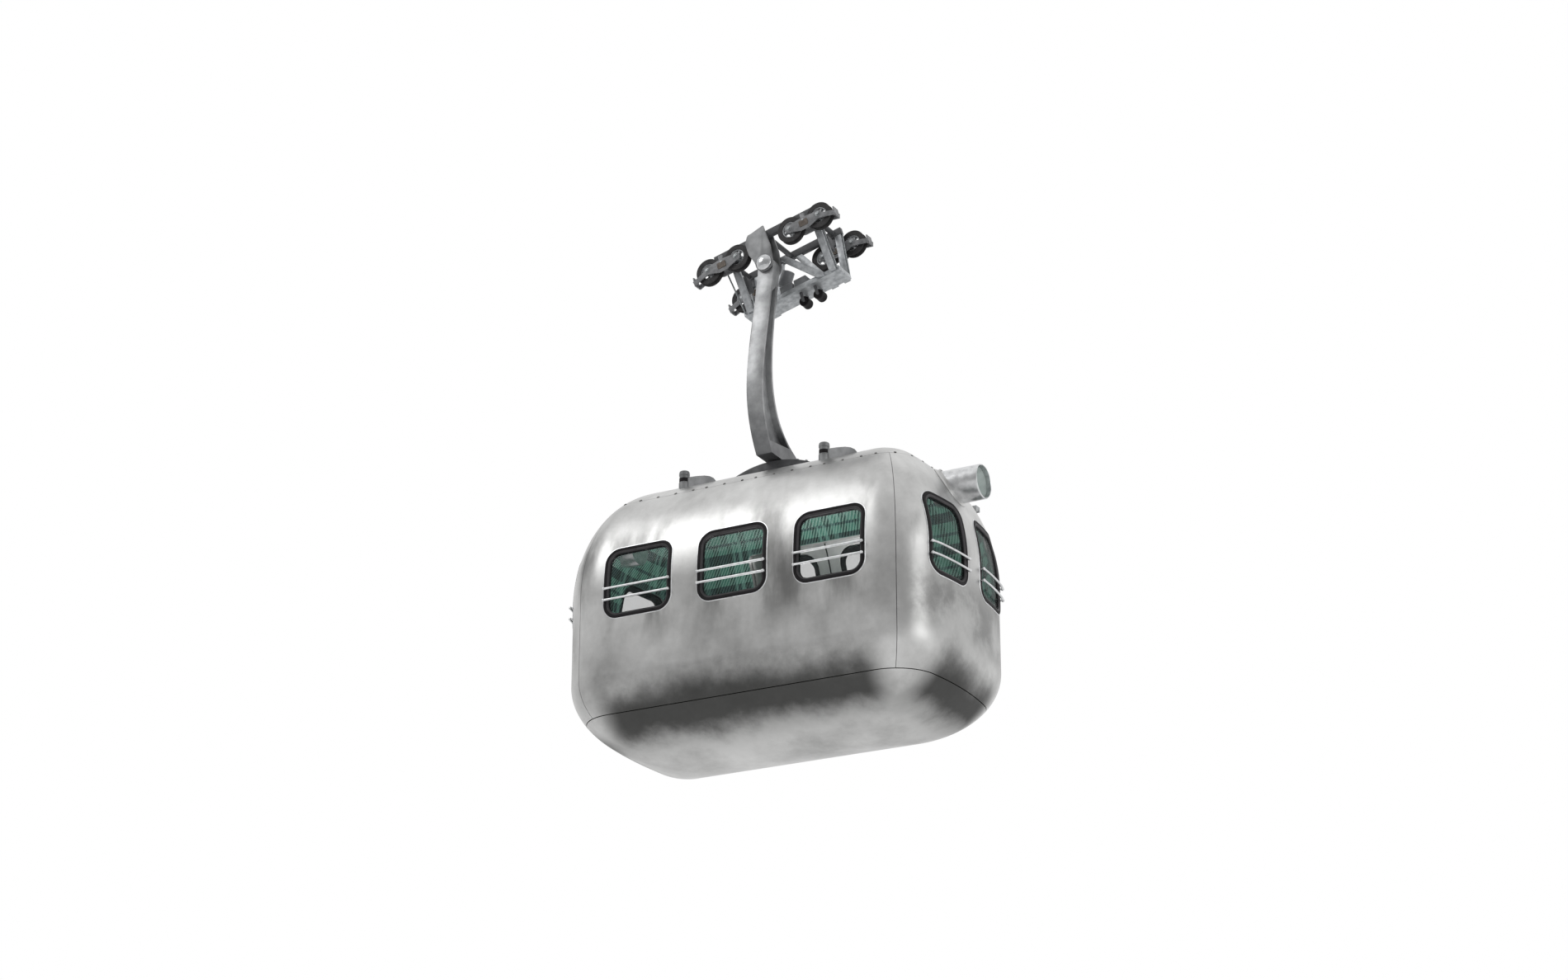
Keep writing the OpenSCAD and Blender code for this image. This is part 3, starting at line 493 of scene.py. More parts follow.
# Dark-headed aluminium rivet: the heads hold grime, so they read as dots.
rivet_metal, tree, shader = new_material("grimy rivet aluminium", Metallic=1.0, Roughness=0.5)
spot = put(tree, "TexCoord").outputs["Object"]
worn = put(tree, "TexNoise", {"Vector": spot, "Scale": 1 / 0.02, "Detail": 3}).outputs[0]
worn = put(tree, "ValToRGB", {"Fac": worn}, stops=[(0.35, "#4A4A49"), (0.7, "#8A8A88")])
tree.links.new(worn.outputs[0], shader.inputs["Base Color"])
piece("roof_rivets", heads(seats, along, rise, out, rivet_r, rivet_rise), rivet_metal, "cabin")

# ---- Fabric lining ----
# The walls and ceiling are lined with trim panels faced in a checked twill. The panels are cut out
# for the windows, the doorway and the lamps, and the check runs level round the car.

lining_t = 0.01
lining_depth = wall_t + 0.0003
lining_foot = 0.75 * hull_seam * 0.89
cloth_round = np.linspace(-5.996, 5.996, 300)


def cloth_lay(grid, start=0.0):
    """Place of each point on the cloth: distance round the car along the middle row, and distance up the
    section along the column at the middle of the far side."""
    level = grid[len(grid) // 2]
    level = -np.concatenate([[0], np.cumsum(np.linalg.norm(np.diff(level, axis=0), axis=1))])
    upright = grid[:, grid.shape[1] * 3 // 4]
    upright = start + np.concatenate([[0], np.cumsum(np.linalg.norm(np.diff(upright, axis=0), axis=1))])
    lay = np.stack(np.broadcast_arrays(level[None, :], upright[:, None]), -1).reshape(-1, 2)
    return np.concatenate([lay, lay]), upright[-1]


# Checked wool twill: dark and hatched bands cross pale stripes, and a slanted twill line shows in
# both. The twill is drawn at 26 mm, far coarser than thread, so that it shows at all.
twill_pitch, band_repeat, stripe_repeat, dark_repeat = 0.026, 0.28, 0.46, 0.153
cloth, tree, shader = new_material("checked wool twill", Roughness=0.92)
shader.inputs["Sheen Weight"].default_value = 0.15
lay = put(tree, "SeparateXYZ", {"Vector": put(tree, "UVMap", uv_map="lay").outputs[0]})


def repeated(source, length):
    """Share of the way through a pattern that repeats at a length along the source."""
    return put(tree, "Math", {0: combine("DIVIDE", source, length)}, operation="FRACT").outputs[0]


slant = combine("SUBTRACT", combine("MULTIPLY", lay.outputs["X"], 0.87),
                combine("MULTIPLY", lay.outputs["Y"], 0.5))
ridge = repeated(slant, twill_pitch)
twill = put(tree, "ValToRGB", {"Fac": ridge}, stops=[(0.12, "#000000"), (0.3, "#FFFFFF"), (0.62, "#FFFFFF"),
                                                     (0.8, "#000000")]).outputs[0]
up_lay = repeated(lay.outputs["Y"], band_repeat)
weft = put(tree, "ValToRGB", {"Fac": up_lay}, stops=[
    (0.0, "#1B2F34"), (0.30, "#1B2F34"), (0.33, "#44806E"), (0.56, "#44806E"), (0.585, "#274347"),
    (0.66, "#274347"), (0.685, "#44806E"), (0.97, "#44806E")]).outputs[0]
level_lay = repeated(lay.outputs["X"], stripe_repeat)
warp = put(tree, "ValToRGB", {"Fac": level_lay}, stops=[
    (0.0, "#FFFFFF"), (0.07, "#FFFFFF"), (0.09, "#000000"), (0.15, "#000000"), (0.17, "#FFFFFF"),
    (0.24, "#FFFFFF"), (0.26, "#000000"), (0.32, "#000000"), (0.34, "#C0C0C0"), (0.46, "#C0C0C0"),
    (0.48, "#000000"), (0.98, "#000000")]).outputs[0]
striped = put(tree, "MixRGB", {"Fac": combine("MULTIPLY", warp, 0.55), "Color1": weft,
                               "Color2": tone("#7FB0A2")}).outputs[0]
dark_lay = repeated(lay.outputs["X"], dark_repeat)
dark_warp = put(tree, "ValToRGB", {"Fac": dark_lay}, stops=[
    (0.0, "#FFFFFF"), (0.58, "#FFFFFF"), (0.62, "#7E9698"), (0.96, "#7E9698")]).outputs[0]
striped = put(tree, "MixRGB", {"Fac": 1.0, "Color1": striped, "Color2": dark_warp},
              blend_type="MULTIPLY").outputs[0]
pale_line = combine("MULTIPLY", twill, put(tree, "MapRange", {
    "Value": weft, "From Min": 0.03, "From Max": 0.12,
                                                           "To Min": 0.22, "To Max": 0.7}).outputs[0])
woven = put(tree, "MixRGB", {"Fac": pale_line, "Color1": striped, "Color2": tone("#9CC4B6")}).outputs[0]
spot = put(tree, "TexCoord").outputs["Object"]
fluff = put(tree, "TexNoise", {"Vector": spot, "Scale": 1 / 0.006}).outputs[0]
woven = put(tree, "MixRGB", {"Fac": 0.14, "Color1": woven, "Color2": fluff}, blend_type="OVERLAY").outputs[0]
tree.links.new(woven, shader.inputs["Base Color"])
nap = put(tree, "Bump", {"Height": fluff, "Strength": 0.2, "Distance": 0.001})
tree.links.new(nap.outputs[0], shader.inputs["Normal"])

lining_shares = np.concatenate([np.linspace(lining_foot, 0, 12), np.linspace(0, roof_seam, 50)[1:]])
lining_face = skin(lining_shares, cloth_round, lining_depth)
wall_lay, wall_lay_top = cloth_lay(lining_face)
lining_back = skin(lining_shares, cloth_round, lining_depth + lining_t)
wall_lining = piece("wall_cloth", slab(lining_face, lining_back),
                    cloth, "cabin", ["wall_lining"], lay=wall_lay)
cut(wall_lining, near_openings + end_openings[1] + end_openings[-1] + [doorway])
ceiling_shares = np.linspace(roof_seam, 1, 24)
ceiling_face = closed_dish(ceiling_shares, cloth_round, lining_depth)
ceiling_lay, _ = cloth_lay(ceiling_face, wall_lay_top)
piece("ceiling_cloth", slab(ceiling_face, closed_dish(ceiling_shares, cloth_round, lining_depth + lining_t),
                            rims=(0,)), cloth, "cabin", ["ceiling_lining"], lay=ceiling_lay)
lamp("cabin light", (0, 0, keel_z + 0.9), (0, 0, keel_z + 2.4), 1.2, 20)

# ---- Windows ----
# Each window is a toughened pane held in a black rubber seal. The seal is pressed into the opening,
# a grey glazing strip locks it, and a thin bright lip trims the cut edge of the sheet.


def wall_inset(up):
    """How far the skin has drawn in at a height above the keel: the section's ellipses, solved for it."""
    high = np.clip((up - shoulder_z) / shoulder_h, 0, 1)
    low = np.clip((bilge_h - up) / bilge_h, 0, 1)
    return shoulder_in * (1 - np.sqrt(1 - high ** 2)) + bilge_in * (1 - np.sqrt(1 - low ** 2))


leaf_gap, leaf_t = 0.014, 0.030


def spot_on(wall, level, up):
    """Point on a wall's skin: level runs along X on the sides and along Y on the ends."""
    inset = wall_inset(up)
    a, b = half_l - inset, half_w - inset
    if wall in ("near", "far", "door"):
        y = {"near": -b, "far": b, "door": b + leaf_gap + leaf_t}[wall]
        return np.stack([level, y, keel_z + up], -1)
    r = np.maximum(corner_min, corner_r - inset / 2)
    cx, cy = a - bow_r, b - r
    fx = cx + np.sqrt((bow_r - r) ** 2 - cy ** 2)
    side = np.abs(level)
    bow = np.sqrt(bow_r ** 2 - side ** 2) + cx
    bend = np.sqrt(np.maximum(r ** 2 - (side - cy) ** 2, 0)) + fx
    x = np.where(side < cy * bow_r / (bow_r - r), bow, bend)
    return np.stack([x if wall == "front" else -x, level, keel_z + up], -1)


def on_wall(wall, level, up, out):
    """Point out from a wall's skin along its normal, which comes from two small steps on the skin."""
    level, up = np.broadcast_arrays(np.asarray(level, float), np.asarray(up, float))
    here, step = spot_on(wall, level, up), 1e-3
    normal = np.cross(spot_on(wall, level + step, up) - here, spot_on(wall, level, up + step) - here)
    normal /= np.linalg.norm(normal, axis=-1, keepdims=True)
    return here + normal * np.asarray(out)[..., None] * (1 if wall in ("near", "front") else -1)


def frame_round(wall, middle, size, radius, profile, steps=12):
    """A strip round a window: a closed profile of (inset from the opening, height off the skin) carried
    along the opening's rounded rectangle."""
    rings = []
    for inset, out in profile + profile[:1]:
        ring = rounded(size[0] - 2 * inset, size[1] - 2 * inset, radius - inset, steps, 14)
        rings.append(on_wall(wall, middle[0] + ring[:, 0], middle[1] + ring[:, 1], out))
    grid = np.stack(rings)
    return grid.reshape(-1, 3), quads(len(rings), grid.shape[1], True).tolist()


def pane(wall, middle, size, radius, inset, depth, thickness=0.006):
    """A pane that follows the wall: rings of the opening's outline drawn in to its middle."""
    ring = rounded(size[0] - 2 * inset, size[1] - 2 * inset, radius - inset, 12, 14)
    spread = np.linspace(1, 0, 14)[:, None, None] * ring
    level, up = middle[0] + spread[..., 0], middle[1] + spread[..., 1]
    return slab(on_wall(wall, level, up, -depth), on_wall(wall, level, up, -depth - thickness), (0,), True)


seal_w, glass_deep = 0.046, 0.016
seal_profile = [(0.0, -0.036), (0.0, 0.001), (0.004, 0.007), (0.012, 0.009), (0.022, 0.008), (0.028, 0.004),
                (0.038, 0.000), (0.043, -0.005), (seal_w, -0.013), (seal_w, -0.036)]
strip_profile = [(0.027, 0.003), (0.030, 0.0065), (0.035, 0.0055), (0.045, -0.004), (0.0455, -0.010),
                 (0.030, -0.004)]
lip_profile = [(-0.0003, -0.003), (-0.006, -0.003), (-0.008, 0.001), (-0.005, 0.0040), (-0.0003, 0.0040)]
fixed_windows = [("near", (x, side_win_z), side_win) for x in near_xs]
fixed_windows += [(end, (y, end_win_z), end_win)
                  for end in ("front", "rear") for y in (-end_win_y, end_win_y)]

# Extruded EPDM rubber: near black, dull, with a faint bloom that lifts the edges.
rubber, tree, shader = new_material("extruded EPDM rubber", Roughness=0.6)
shader.inputs["Specular IOR Level"].default_value = 0.2
spot = put(tree, "TexCoord").outputs["Object"]
bloom = put(tree, "TexNoise", {"Vector": spot, "Scale": 1 / 0.09, "Detail": 4}).outputs[0]
tree.links.new(put(tree, "ValToRGB", {"Fac": bloom}, stops=[(0.35, "#100E10"), (0.75, "#1F1C1F")]).outputs[0],
               shader.inputs["Base Color"])
rub = put(tree, "Bump", {"Height": put(tree, "TexNoise", {"Vector": spot, "Scale": 1 / 0.004}).outputs[0],
                         "Strength": 0.15, "Distance": 0.001})
tree.links.new(rub.outputs[0], shader.inputs["Normal"])
# Grey glazing strip: the same rubber filled with chalk, so it reads a shade lighter than the seal.
grey_strip, tree, shader = new_material("grey filled rubber strip", Roughness=0.5)
spot = put(tree, "TexCoord").outputs["Object"]
chalk = put(tree, "TexNoise", {"Vector": spot, "Scale": 1 / 0.05, "Detail": 3}).outputs[0]
tree.links.new(put(tree, "ValToRGB", {"Fac": chalk}, stops=[(0.3, "#242224"), (0.7, "#353235")]).outputs[0],
               shader.inputs["Base Color"])
# Bright-dipped aluminium trim: smooth, with light handling marks in its gloss.
bright, tree, shader = new_material("bright dipped aluminium", Metallic=1.0)
spot = put(tree, "TexCoord").outputs["Object"]
marks = put(tree, "TexNoise", {"Vector": spot, "Scale": 1 / 0.04, "Detail": 5}).outputs[0]
tree.links.new(put(tree, "ValToRGB", {"Fac": marks}, stops=[(0.3, "#C9CACB"), (0.7, "#E9EAEB")]).outputs[0],
               shader.inputs["Base Color"])
tree.links.new(put(tree, "MapRange", {"Value": marks, "To Min": 0.22, "To Max": 0.42}).outputs[0],
               shader.inputs["Roughness"])
# Toughened glass: clear with a faint green cast, and light dust that dulls its gloss in places.
glass, tree, shader = new_material("toughened window glass", Alpha=0.16, IOR=1.45)
spot = put(tree, "TexCoord").outputs["Object"]
dust = put(tree, "TexNoise", {"Vector": spot, "Scale": 1 / 0.2, "Detail": 5}).outputs[0]
tree.links.new(put(tree, "ValToRGB", {"Fac": dust}, stops=[(0.35, "#24312F"), (0.75, "#3A4845")]).outputs[0],
               shader.inputs["Base Color"])
tree.links.new(put(tree, "MapRange", {"Value": dust, "To Min": 0.03, "To Max": 0.14}).outputs[0],
               shader.inputs["Roughness"])

piece("window_seals", joined([frame_round(w, m, s, win_r, seal_profile) for w, m, s in fixed_windows]),
      rubber, "cabin", ["window_frames"])
piece("window_strips", joined([frame_round(w, m, s, win_r, strip_profile) for w, m, s in fixed_windows]),
      grey_strip, "cabin")
piece("window_lips", joined([frame_round(w, m, s, win_r, lip_profile) for w, m, s in fixed_windows]),
      bright, "cabin")
piece("window_panes", joined([pane(w, m, s, win_r, seal_w, glass_deep) for w, m, s in fixed_windows]),
      glass, "cabin", ["window_glass"])

# ---- Guard bars ----
# Two polished tubes cross each window at waist height, so that nobody leans on the glass. Their
# ball ends stand on short feet in the window surround, and the end bars bow with the wall.

bar_r, bar_off, bar_ups = 0.010, 0.030, (1.30, 1.40)


def bar(path, radius, sides=16, domes=4):
    """A round bar along a path with half-round ends: circles square to the path, which shrink to nothing
    over the last radius at each end."""
    path = np.asarray(path, float)
    run = np.gradient(path, axis=0)
    run /= np.linalg.norm(run, axis=1, keepdims=True)
    turn = np.linspace(0, math.pi / 2, domes + 1)[:-1, None]
    middles = np.concatenate([path[:1] - run[:1] * radius * np.cos(turn), path,
                              path[-1:] + run[-1:] * radius * np.cos(turn[::-1])])
    runs = np.concatenate([run[:1].repeat(domes, 0), run, run[-1:].repeat(domes, 0)])
    size = radius * np.concatenate([np.sin(turn), np.ones((len(path), 1)), np.sin(turn[::-1])])
    away = np.array([1.0, 0, 0] if np.abs(runs[:, 2]).max() > 0.8 else [0, 0, 1.0])
    side = np.cross(runs, away)
    side /= np.linalg.norm(side, axis=1, keepdims=True)
    up = np.cross(side, runs)
    around = np.linspace(0, 2 * math.pi, sides, endpoint=False)[:, None]
    circle = side[:, None] * np.cos(around) + up[:, None] * np.sin(around)
    return loft(middles[:, None] + size[:, None] * circle, capped=False)


def guard(wall, middle, width, up):
    """One guard bar with its two ball ends and feet."""
    half = width / 2 - seal_w / 3
    levels = middle + np.linspace(-half, half, 17)
    ends = on_wall(wall, levels[[0, -1]], up, bar_off)
    feet = on_wall(wall, levels[[0, -1]], up, 0.004)
    balls = [bar([end - (0, 0, 0.0005), end + (0, 0, 0.0005)], 0.0135) for end in ends]
    return joined([bar(on_wall(wall, levels, up, bar_off), bar_r)] + balls
                  + [bar([foot, end], 0.008, domes=2) for foot, end in zip(feet, ends)])


piece("side_guards", joined([guard("near", x, side_win[0], up) for x in near_xs for up in bar_ups]),
      bright, "cabin", ["side_guard_bars"])
piece("end_guards", joined([guard(end, y, end_win[0], up) for end in ("front", "rear")
                            for y in (-end_win_y, end_win_y) for up in bar_ups]),
      bright, "cabin", ["end_guard_bars"])

# ---- Headlamps ----
# A spun aluminium tube stands out of each end under the roof, with a rolled rim, a polished bowl
# inside and a clear lens set back from the rim. A pressed collar seals it to the wall.

lamp_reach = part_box("lamp_housings")[1].x
tube_back = 0.43


def turned(profile, middle, axis, count=40):
    """A turned shape: a profile of (radius, distance along the axis) pairs spun about the axis."""
    profile, axis = np.array(profile, float), np.array(axis, float) / np.linalg.norm(axis)
    side = np.cross(axis, (0, 0, 1.0) if abs(axis[2]) < 0.9 else (1.0, 0, 0))
    side /= np.linalg.norm(side)
    around = np.linspace(0, 2 * math.pi, count, endpoint=False)[:, None]
    circle = side * np.cos(around) + np.cross(axis, side) * np.sin(around)
    rings = np.array(middle) + profile[:, 1, None, None] * axis + profile[:, 0, None, None] * circle
    return loft(rings, capped=False)


tube_profile = [(0, -tube_back), (lamp_r, -tube_back), (lamp_r, -0.012), (lamp_r - 0.002, -0.004),
                (lamp_r - 0.006, 0), (lamp_r - 0.010, -0.003), (lamp_r - 0.010, -0.045), (0.134, -0.050),
                (0.122, -0.090), (0.100, -0.140), (0.060, -0.185), (0.022, -0.200), (0, -0.202)]
lens_profile = [(0, -0.022), (0.05, -0.0235), (0.10, -0.0285), (0.1375, -0.038), (0.1375, -0.044),
                (0, -0.040)]
bulb_profile = [(0, -0.110), (0.014, -0.113), (0.024, -0.128), (0.024, -0.142), (0.014, -0.160),
                (0.014, -0.199),
                (0, -0.199)]
tubes, lenses, bulbs, collars = [], [], [], []
for side, end in ((1, "front"), (-1, "rear")):
    rim = (side * lamp_reach, 0, keel_z + lamp_z)
    tubes.append(turned(tube_profile, rim, (side, 0, 0), 64))
    lenses.append(turned(lens_profile, rim, (side, 0, 0), 64))
    bulbs.append(turned(bulb_profile, rim, (side, 0, 0), 24))
    ring = np.linspace(0, 2 * math.pi, 72, endpoint=False)
    rings = [on_wall(end, spread * np.cos(ring), lamp_z + spread * np.sin(ring), off)
             for spread, off in ((0.146, -0.004), (0.176, -0.002), (0.178, 0.004), (0.170, 0.009),
                                 (0.156, 0.016), (0.1485, 0.034), (0.146, 0.034), (0.146, -0.004))]
    grid = np.stack(rings)
    collars.append((grid.reshape(-1, 3), quads(len(rings), 72, True).tolist()))
piece("lamp_tubes", joined(tubes), bright, "cabin", ["lamp_housings"])
piece("lamp_collars", joined(collars), sheet, "cabin")
piece("lamp_bulbs", joined(bulbs), glass, "cabin")
# Pressed lamp glass: thicker and greener than the windows, with a shallow moulded ripple.
lamp_glass, tree, shader = new_material("pressed lamp glass", Alpha=0.3, IOR=1.5, Roughness=0.08)
spot = put(tree, "TexCoord").outputs["Object"]
flute = put(tree, "TexWave", {"Vector": spot, "Scale": 22.0}, bands_direction="Y").outputs[1]
tree.links.new(put(tree, "ValToRGB", {"Fac": flute}, stops=[(0.0, "#8FA39C"), (1.0, "#B4C5BF")]).outputs[0],
               shader.inputs["Base Color"])
tree.links.new(put(tree, "Bump", {"Height": flute, "Strength": 0.3, "Distance": 0.002}).outputs[0],
               shader.inputs["Normal"])
piece("lamp_glasses", joined(lenses), lamp_glass, "cabin", ["lamp_lenses"])

# ---- Roof posts ----
# Four short posts on the roof take the guy hooks when the car is serviced. Each is a turned stub in
# a welded ring, with a low cast fairing behind it.

post_xs, post_y, post_top = (-0.74, 0.61), 0.43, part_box("roof_posts")[1].z
post_profile = [(0, -0.19), (0.048, -0.19), (0.048, -0.107), (0.045, -0.103), (0.043, -0.101),
                (0.043, -0.042),
                (0.046, -0.039), (0.046, -0.016), (0.043, -0.013), (0.043, -0.005), (0.038, 0), (0, 0)]
collar_profile = [(0.0425, -0.098), (0.0448, -0.098), (0.0448, -0.066), (0.0425, -0.066), (0.0425, -0.098)]
fairing = np.array([(0.0, 0.016, -0.055), (0.12, 0.016, -0.061), (0.2, 0.0145, -0.071), (0.25, 0.012, -0.086),
                    (0.285, 0.010, -0.108), (0.305, 0.008, -0.134), (0.31, 0.007, -0.19)])
arc = np.linspace(0, math.pi, 9)
posts, dark_rings, tails = [], [], []
for x in post_xs:
    for y in (-post_y, post_y):
        posts.append(turned(post_profile, (x, y, post_top), (0, 0, 1)))
        dark_rings.append(turned(collar_profile, (x, y, post_top), (0, 0, 1)))
        across = fairing[:, 1:2] * np.cos(arc)
        tops = fairing[:, 2:3] + fairing[:, 1:2] * (np.sin(arc) - 1)
        across = np.concatenate([fairing[:, 1:2], across, -fairing[:, 1:2]], 1)
        tops = np.concatenate([np.full((len(fairing), 1), -0.2), tops, np.full((len(fairing), 1), -0.2)], 1)
        level = np.broadcast_to(fairing[:, :1], across.shape)
        tails.append(loft(np.stack([x + level, y + across, post_top + tops], -1)))

# Cast aluminium, shot-blasted: an even fine grain that holds a little dirt in its pores.
cast, tree, shader = new_material("shot-blasted cast aluminium", Metallic=0.9)
spot = put(tree, "TexCoord").outputs["Object"]
pores = put(tree, "TexNoise", {"Vector": spot, "Scale": 1 / 0.003, "Detail": 2}).outputs[0]
blotch = put(tree, "TexNoise", {"Vector": spot, "Scale": 1 / 0.12, "Detail": 5}).outputs[0]
tree.links.new(put(tree, "ValToRGB", {"Fac": blotch}, stops=[(0.3, "#6E6F70"), (0.7, "#9C9D9E")]).outputs[0],
               shader.inputs["Base Color"])
tree.links.new(put(tree, "MapRange", {"Value": blotch, "To Min": 0.4, "To Max": 0.62}).outputs[0],
               shader.inputs["Roughness"])
tree.links.new(put(tree, "Bump", {"Height": pores, "Strength": 0.25, "Distance": 0.001}).outputs[0],
               shader.inputs["Normal"])
piece("post_stubs", joined(posts), cast, "cabin", ["roof_posts"])
piece("post_bands", joined(dark_rings), rubber, "cabin")
piece("post_fairings", joined(tails), cast, "cabin")

# ---- Sliding doors ----
# Two leaves of folded aluminium sheet slide on the far side, hung from a rail above the doorway.
# Each holds one tall pane in a rubber seal, and rubber lips close the gap where the leaves meet.

tall_win, tall_win_x, tall_win_z = (0.57, 0.95), 0.39, 1.61
leaf_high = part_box("door_leaf_front")[1]
leaf_z0, leaf_z1 = door_z0 - 0.02, door_z1 + 0.02
leaf_seal = [(inset, max(out, -0.025)) for inset, out in seal_profile]
for side, name in ((1, "front"), (-1, "rear")):
    level, up = np.meshgrid(np.linspace(0.0065, leaf_high.x, 16) * side, np.linspace(leaf_z0, leaf_z1, 48))
    face = spot_on("door", level, up)
    leaf = piece(f"door_{name}_sheet", slab(face, face - (0, leaf_t, 0)), sheet, f"door_{name}",
                 [f"door_leaf_{name}"])
    middle = (side * tall_win_x, half_w, keel_z + tall_win_z)
    cut(leaf, [plug(rounded(*tall_win, win_r), middle, cut_depth, "y")])
    made = ("door", (side * tall_win_x, tall_win_z), tall_win, win_r)
    lip = face[:, :1] - (0, leaf_t / 2, 0)
    lip_ring = np.array([(0.003, 0.014), (0.003, -0.014), (-0.0045, -0.009), (-0.0060, 0), (-0.0045, 0.009)])
    lip_rings = lip + np.stack([lip_ring[:, 0] * side, lip_ring[:, 1], 0 * lip_ring[:, 0]], -1)
    piece(f"door_{name}_rubber", joined([frame_round(*made, leaf_seal), loft(lip_rings)]), rubber,
          f"door_{name}")
    piece(f"door_{name}_lip", frame_round(*made, lip_profile), bright, f"door_{name}")
    piece(f"door_{name}_pane", pane(*made, 0.03, 0.012), glass, f"door_{name}",
          [f"door_glass_{name}"])


def softened(node, finish, width, crease=32):
    """A finished copy of a plain piece: its construction mesh welded, cleared of edges in flat faces,
    and given a small round along every edge, as a casting or a deburred cut has."""
    work = bmesh.new()
    work.from_mesh(nodes[node].data)
    bmesh.ops.remove_doubles(work, verts=work.verts, dist=2e-5)
    bmesh.ops.dissolve_limit(work, angle_limit=math.radians(2), verts=work.verts, edges=work.edges)
    mesh = bpy.data.meshes.new(node + "_finish")
    work.to_mesh(mesh)
    work.free()
    mesh.polygons.foreach_set("use_smooth", np.ones(len(mesh.polygons), bool))
    mesh.materials.append(finish)
    made = bpy.data.objects.new(node + "_finish", mesh)
    scene.collection.objects.link(made)
    edges = made.modifiers.new("edges", "BEVEL")
    edges.width, edges.segments, edges.angle_limit = width, 2, math.radians(35)
    bake_modifiers(made, crease)
    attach(made, nodes[node]["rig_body"])
    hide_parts(node)
    return made


def two_tone(name, dark, light, size, gloss, grain, **values):
    """A finish of two tones clouded together: cloud size, range of roughness, and size of the fine grain."""
    global tree
    finish, tree, shader = new_material(name, **values)
    spot = put(tree, "TexCoord").outputs["Object"]
    cloud = put(tree, "TexNoise", {"Vector": spot, "Scale": 1 / size, "Detail": 6,
                                   "Roughness": 0.6}).outputs[0]
    tree.links.new(put(tree, "ValToRGB", {"Fac": cloud}, stops=[(0.32, dark), (0.68, light)]).outputs[0],
                   shader.inputs["Base Color"])
    tree.links.new(put(tree, "MapRange", {"Value": cloud, "To Min": gloss[1], "To Max": gloss[0]}).outputs[0],
                   shader.inputs["Roughness"])
    fine = put(tree, "TexNoise", {"Vector": spot, "Scale": 1 / grain, "Detail": 2}).outputs[0]
    tree.links.new(put(tree, "Bump", {"Height": fine, "Strength": 0.2, "Distance": 0.001}).outputs[0],
                   shader.inputs["Normal"])
    return finish


# Drawn aluminium rail, dulled where the hangers run.
rail_metal = two_tone("drawn rail aluminium", "#8E9091", "#B9BBBC", 0.15, (0.35, 0.55), 0.003, Metallic=0.95)
softened("door_rails", rail_metal, 0.003)

# ---- Floor ----
# The deck is a sandwich board with a studless rubber floor, worn grey along the middle.

# Sheet rubber floor: dark grey, matt, trodden lighter in patches.
floor_finish = two_tone("sheet rubber flooring", "#2B2D2E", "#4A4C4D", 0.35, (0.7, 0.85), 0.004)
softened("floor_deck", floor_finish, 0.004)

# ---- Hanger arm and foot plate ----
# The arm is one aluminium casting of I-section that bends out past the ropes and back under them.
# It stands on a low domed plate, which is bolted through the roof to the cabin's frames.

# Cast aluminium arm: grey and satin, stained dark in the lower bend where the rain runs off.
arm_finish, tree, shader = new_material("stained cast aluminium", Metallic=0.85)
spot = put(tree, "TexCoord").outputs["Object"]
cloud = put(tree, "TexNoise", {"Vector": spot, "Scale": 1 / 0.18, "Detail": 6, "Roughness": 0.6}).outputs[0]
body_tone = put(tree, "ValToRGB", {"Fac": cloud}, stops=[(0.3, "#8A8B8C"), (0.7, "#B9BABB")]).outputs[0]
fall = combine("ADD", put(tree, "SeparateXYZ", {"Vector": spot}).outputs["Z"],
               combine("MULTIPLY", cloud, 0.3))
stain = put(tree, "MapRange", {"Value": fall, "From Min": -1.62, "From Max": -1.25, "To Min": 0.6,
                               "To Max": 0.0})
shade = put(tree, "MixRGB", {"Fac": stain.outputs[0], "Color1": body_tone,
                             "Color2": tone("#4C4D4F")}).outputs[0]
tree.links.new(shade, shader.inputs["Base Color"])
tree.links.new(put(tree, "MapRange", {"Value": cloud, "To Min": 0.55, "To Max": 0.38}).outputs[0],
               shader.inputs["Roughness"])
skin_grain = put(tree, "TexNoise", {"Vector": spot, "Scale": 1 / 0.004, "Detail": 2}).outputs[0]
tree.links.new(put(tree, "Bump", {"Height": skin_grain, "Strength": 0.25, "Distance": 0.001}).outputs[0],
               shader.inputs["Normal"])
softened("hanger_arm", arm_finish, 0.006)
# Painted steel plate: dark grey paint, chalky with weather.
plate_paint = two_tone("weathered dark grey paint", "#3C3D3F", "#595A5C", 0.12, (0.5, 0.7), 0.003)
softened("hanger_foot", plate_paint, 0.005)
# Zinc-plated fixings: pale, slightly mottled, brighter than the paint around them.
zinc = two_tone("zinc-plated steel", "#7E8284", "#A9ACAD", 0.02, (0.3, 0.5), 0.002, Metallic=1.0)


def bolt(seat, axis, across, rise):
    """A bolt head with its washer: a hexagon with a turned-off top, standing on a seat along an axis."""
    washer = [(0, 0), (across * 0.98, 0), (across * 0.98, rise * 0.16), (across * 0.92, rise * 0.22),
              (0, rise * 0.22)]
    head = [(0, 0), (across * 0.66, 0), (across * 0.66, rise * 0.86), (across * 0.52, rise), (0, rise)]
    return joined([turned(washer, seat, axis, 24), turned(head, seat, axis, 6)])


foot_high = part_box("hanger_foot")[1].z
bolts = [bolt((x, y, foot_high - 0.9 + math.sqrt(0.9 ** 2 - x ** 2) - 0.001), (x, 0, 0.85), 0.019, 0.018)
         for x in (-0.30, -0.215, 0.215, 0.30) for y in (-0.17, -0.06, 0.06, 0.17)]
piece("foot_bolts", joined(bolts), zinc, "cabin")

# ---- Carriage frame and pivot ----
# Two channel beams, cross tubes and a double head plate are welded into one steel frame. The arm
# hangs between the plates on a pin with a polished domed cap.

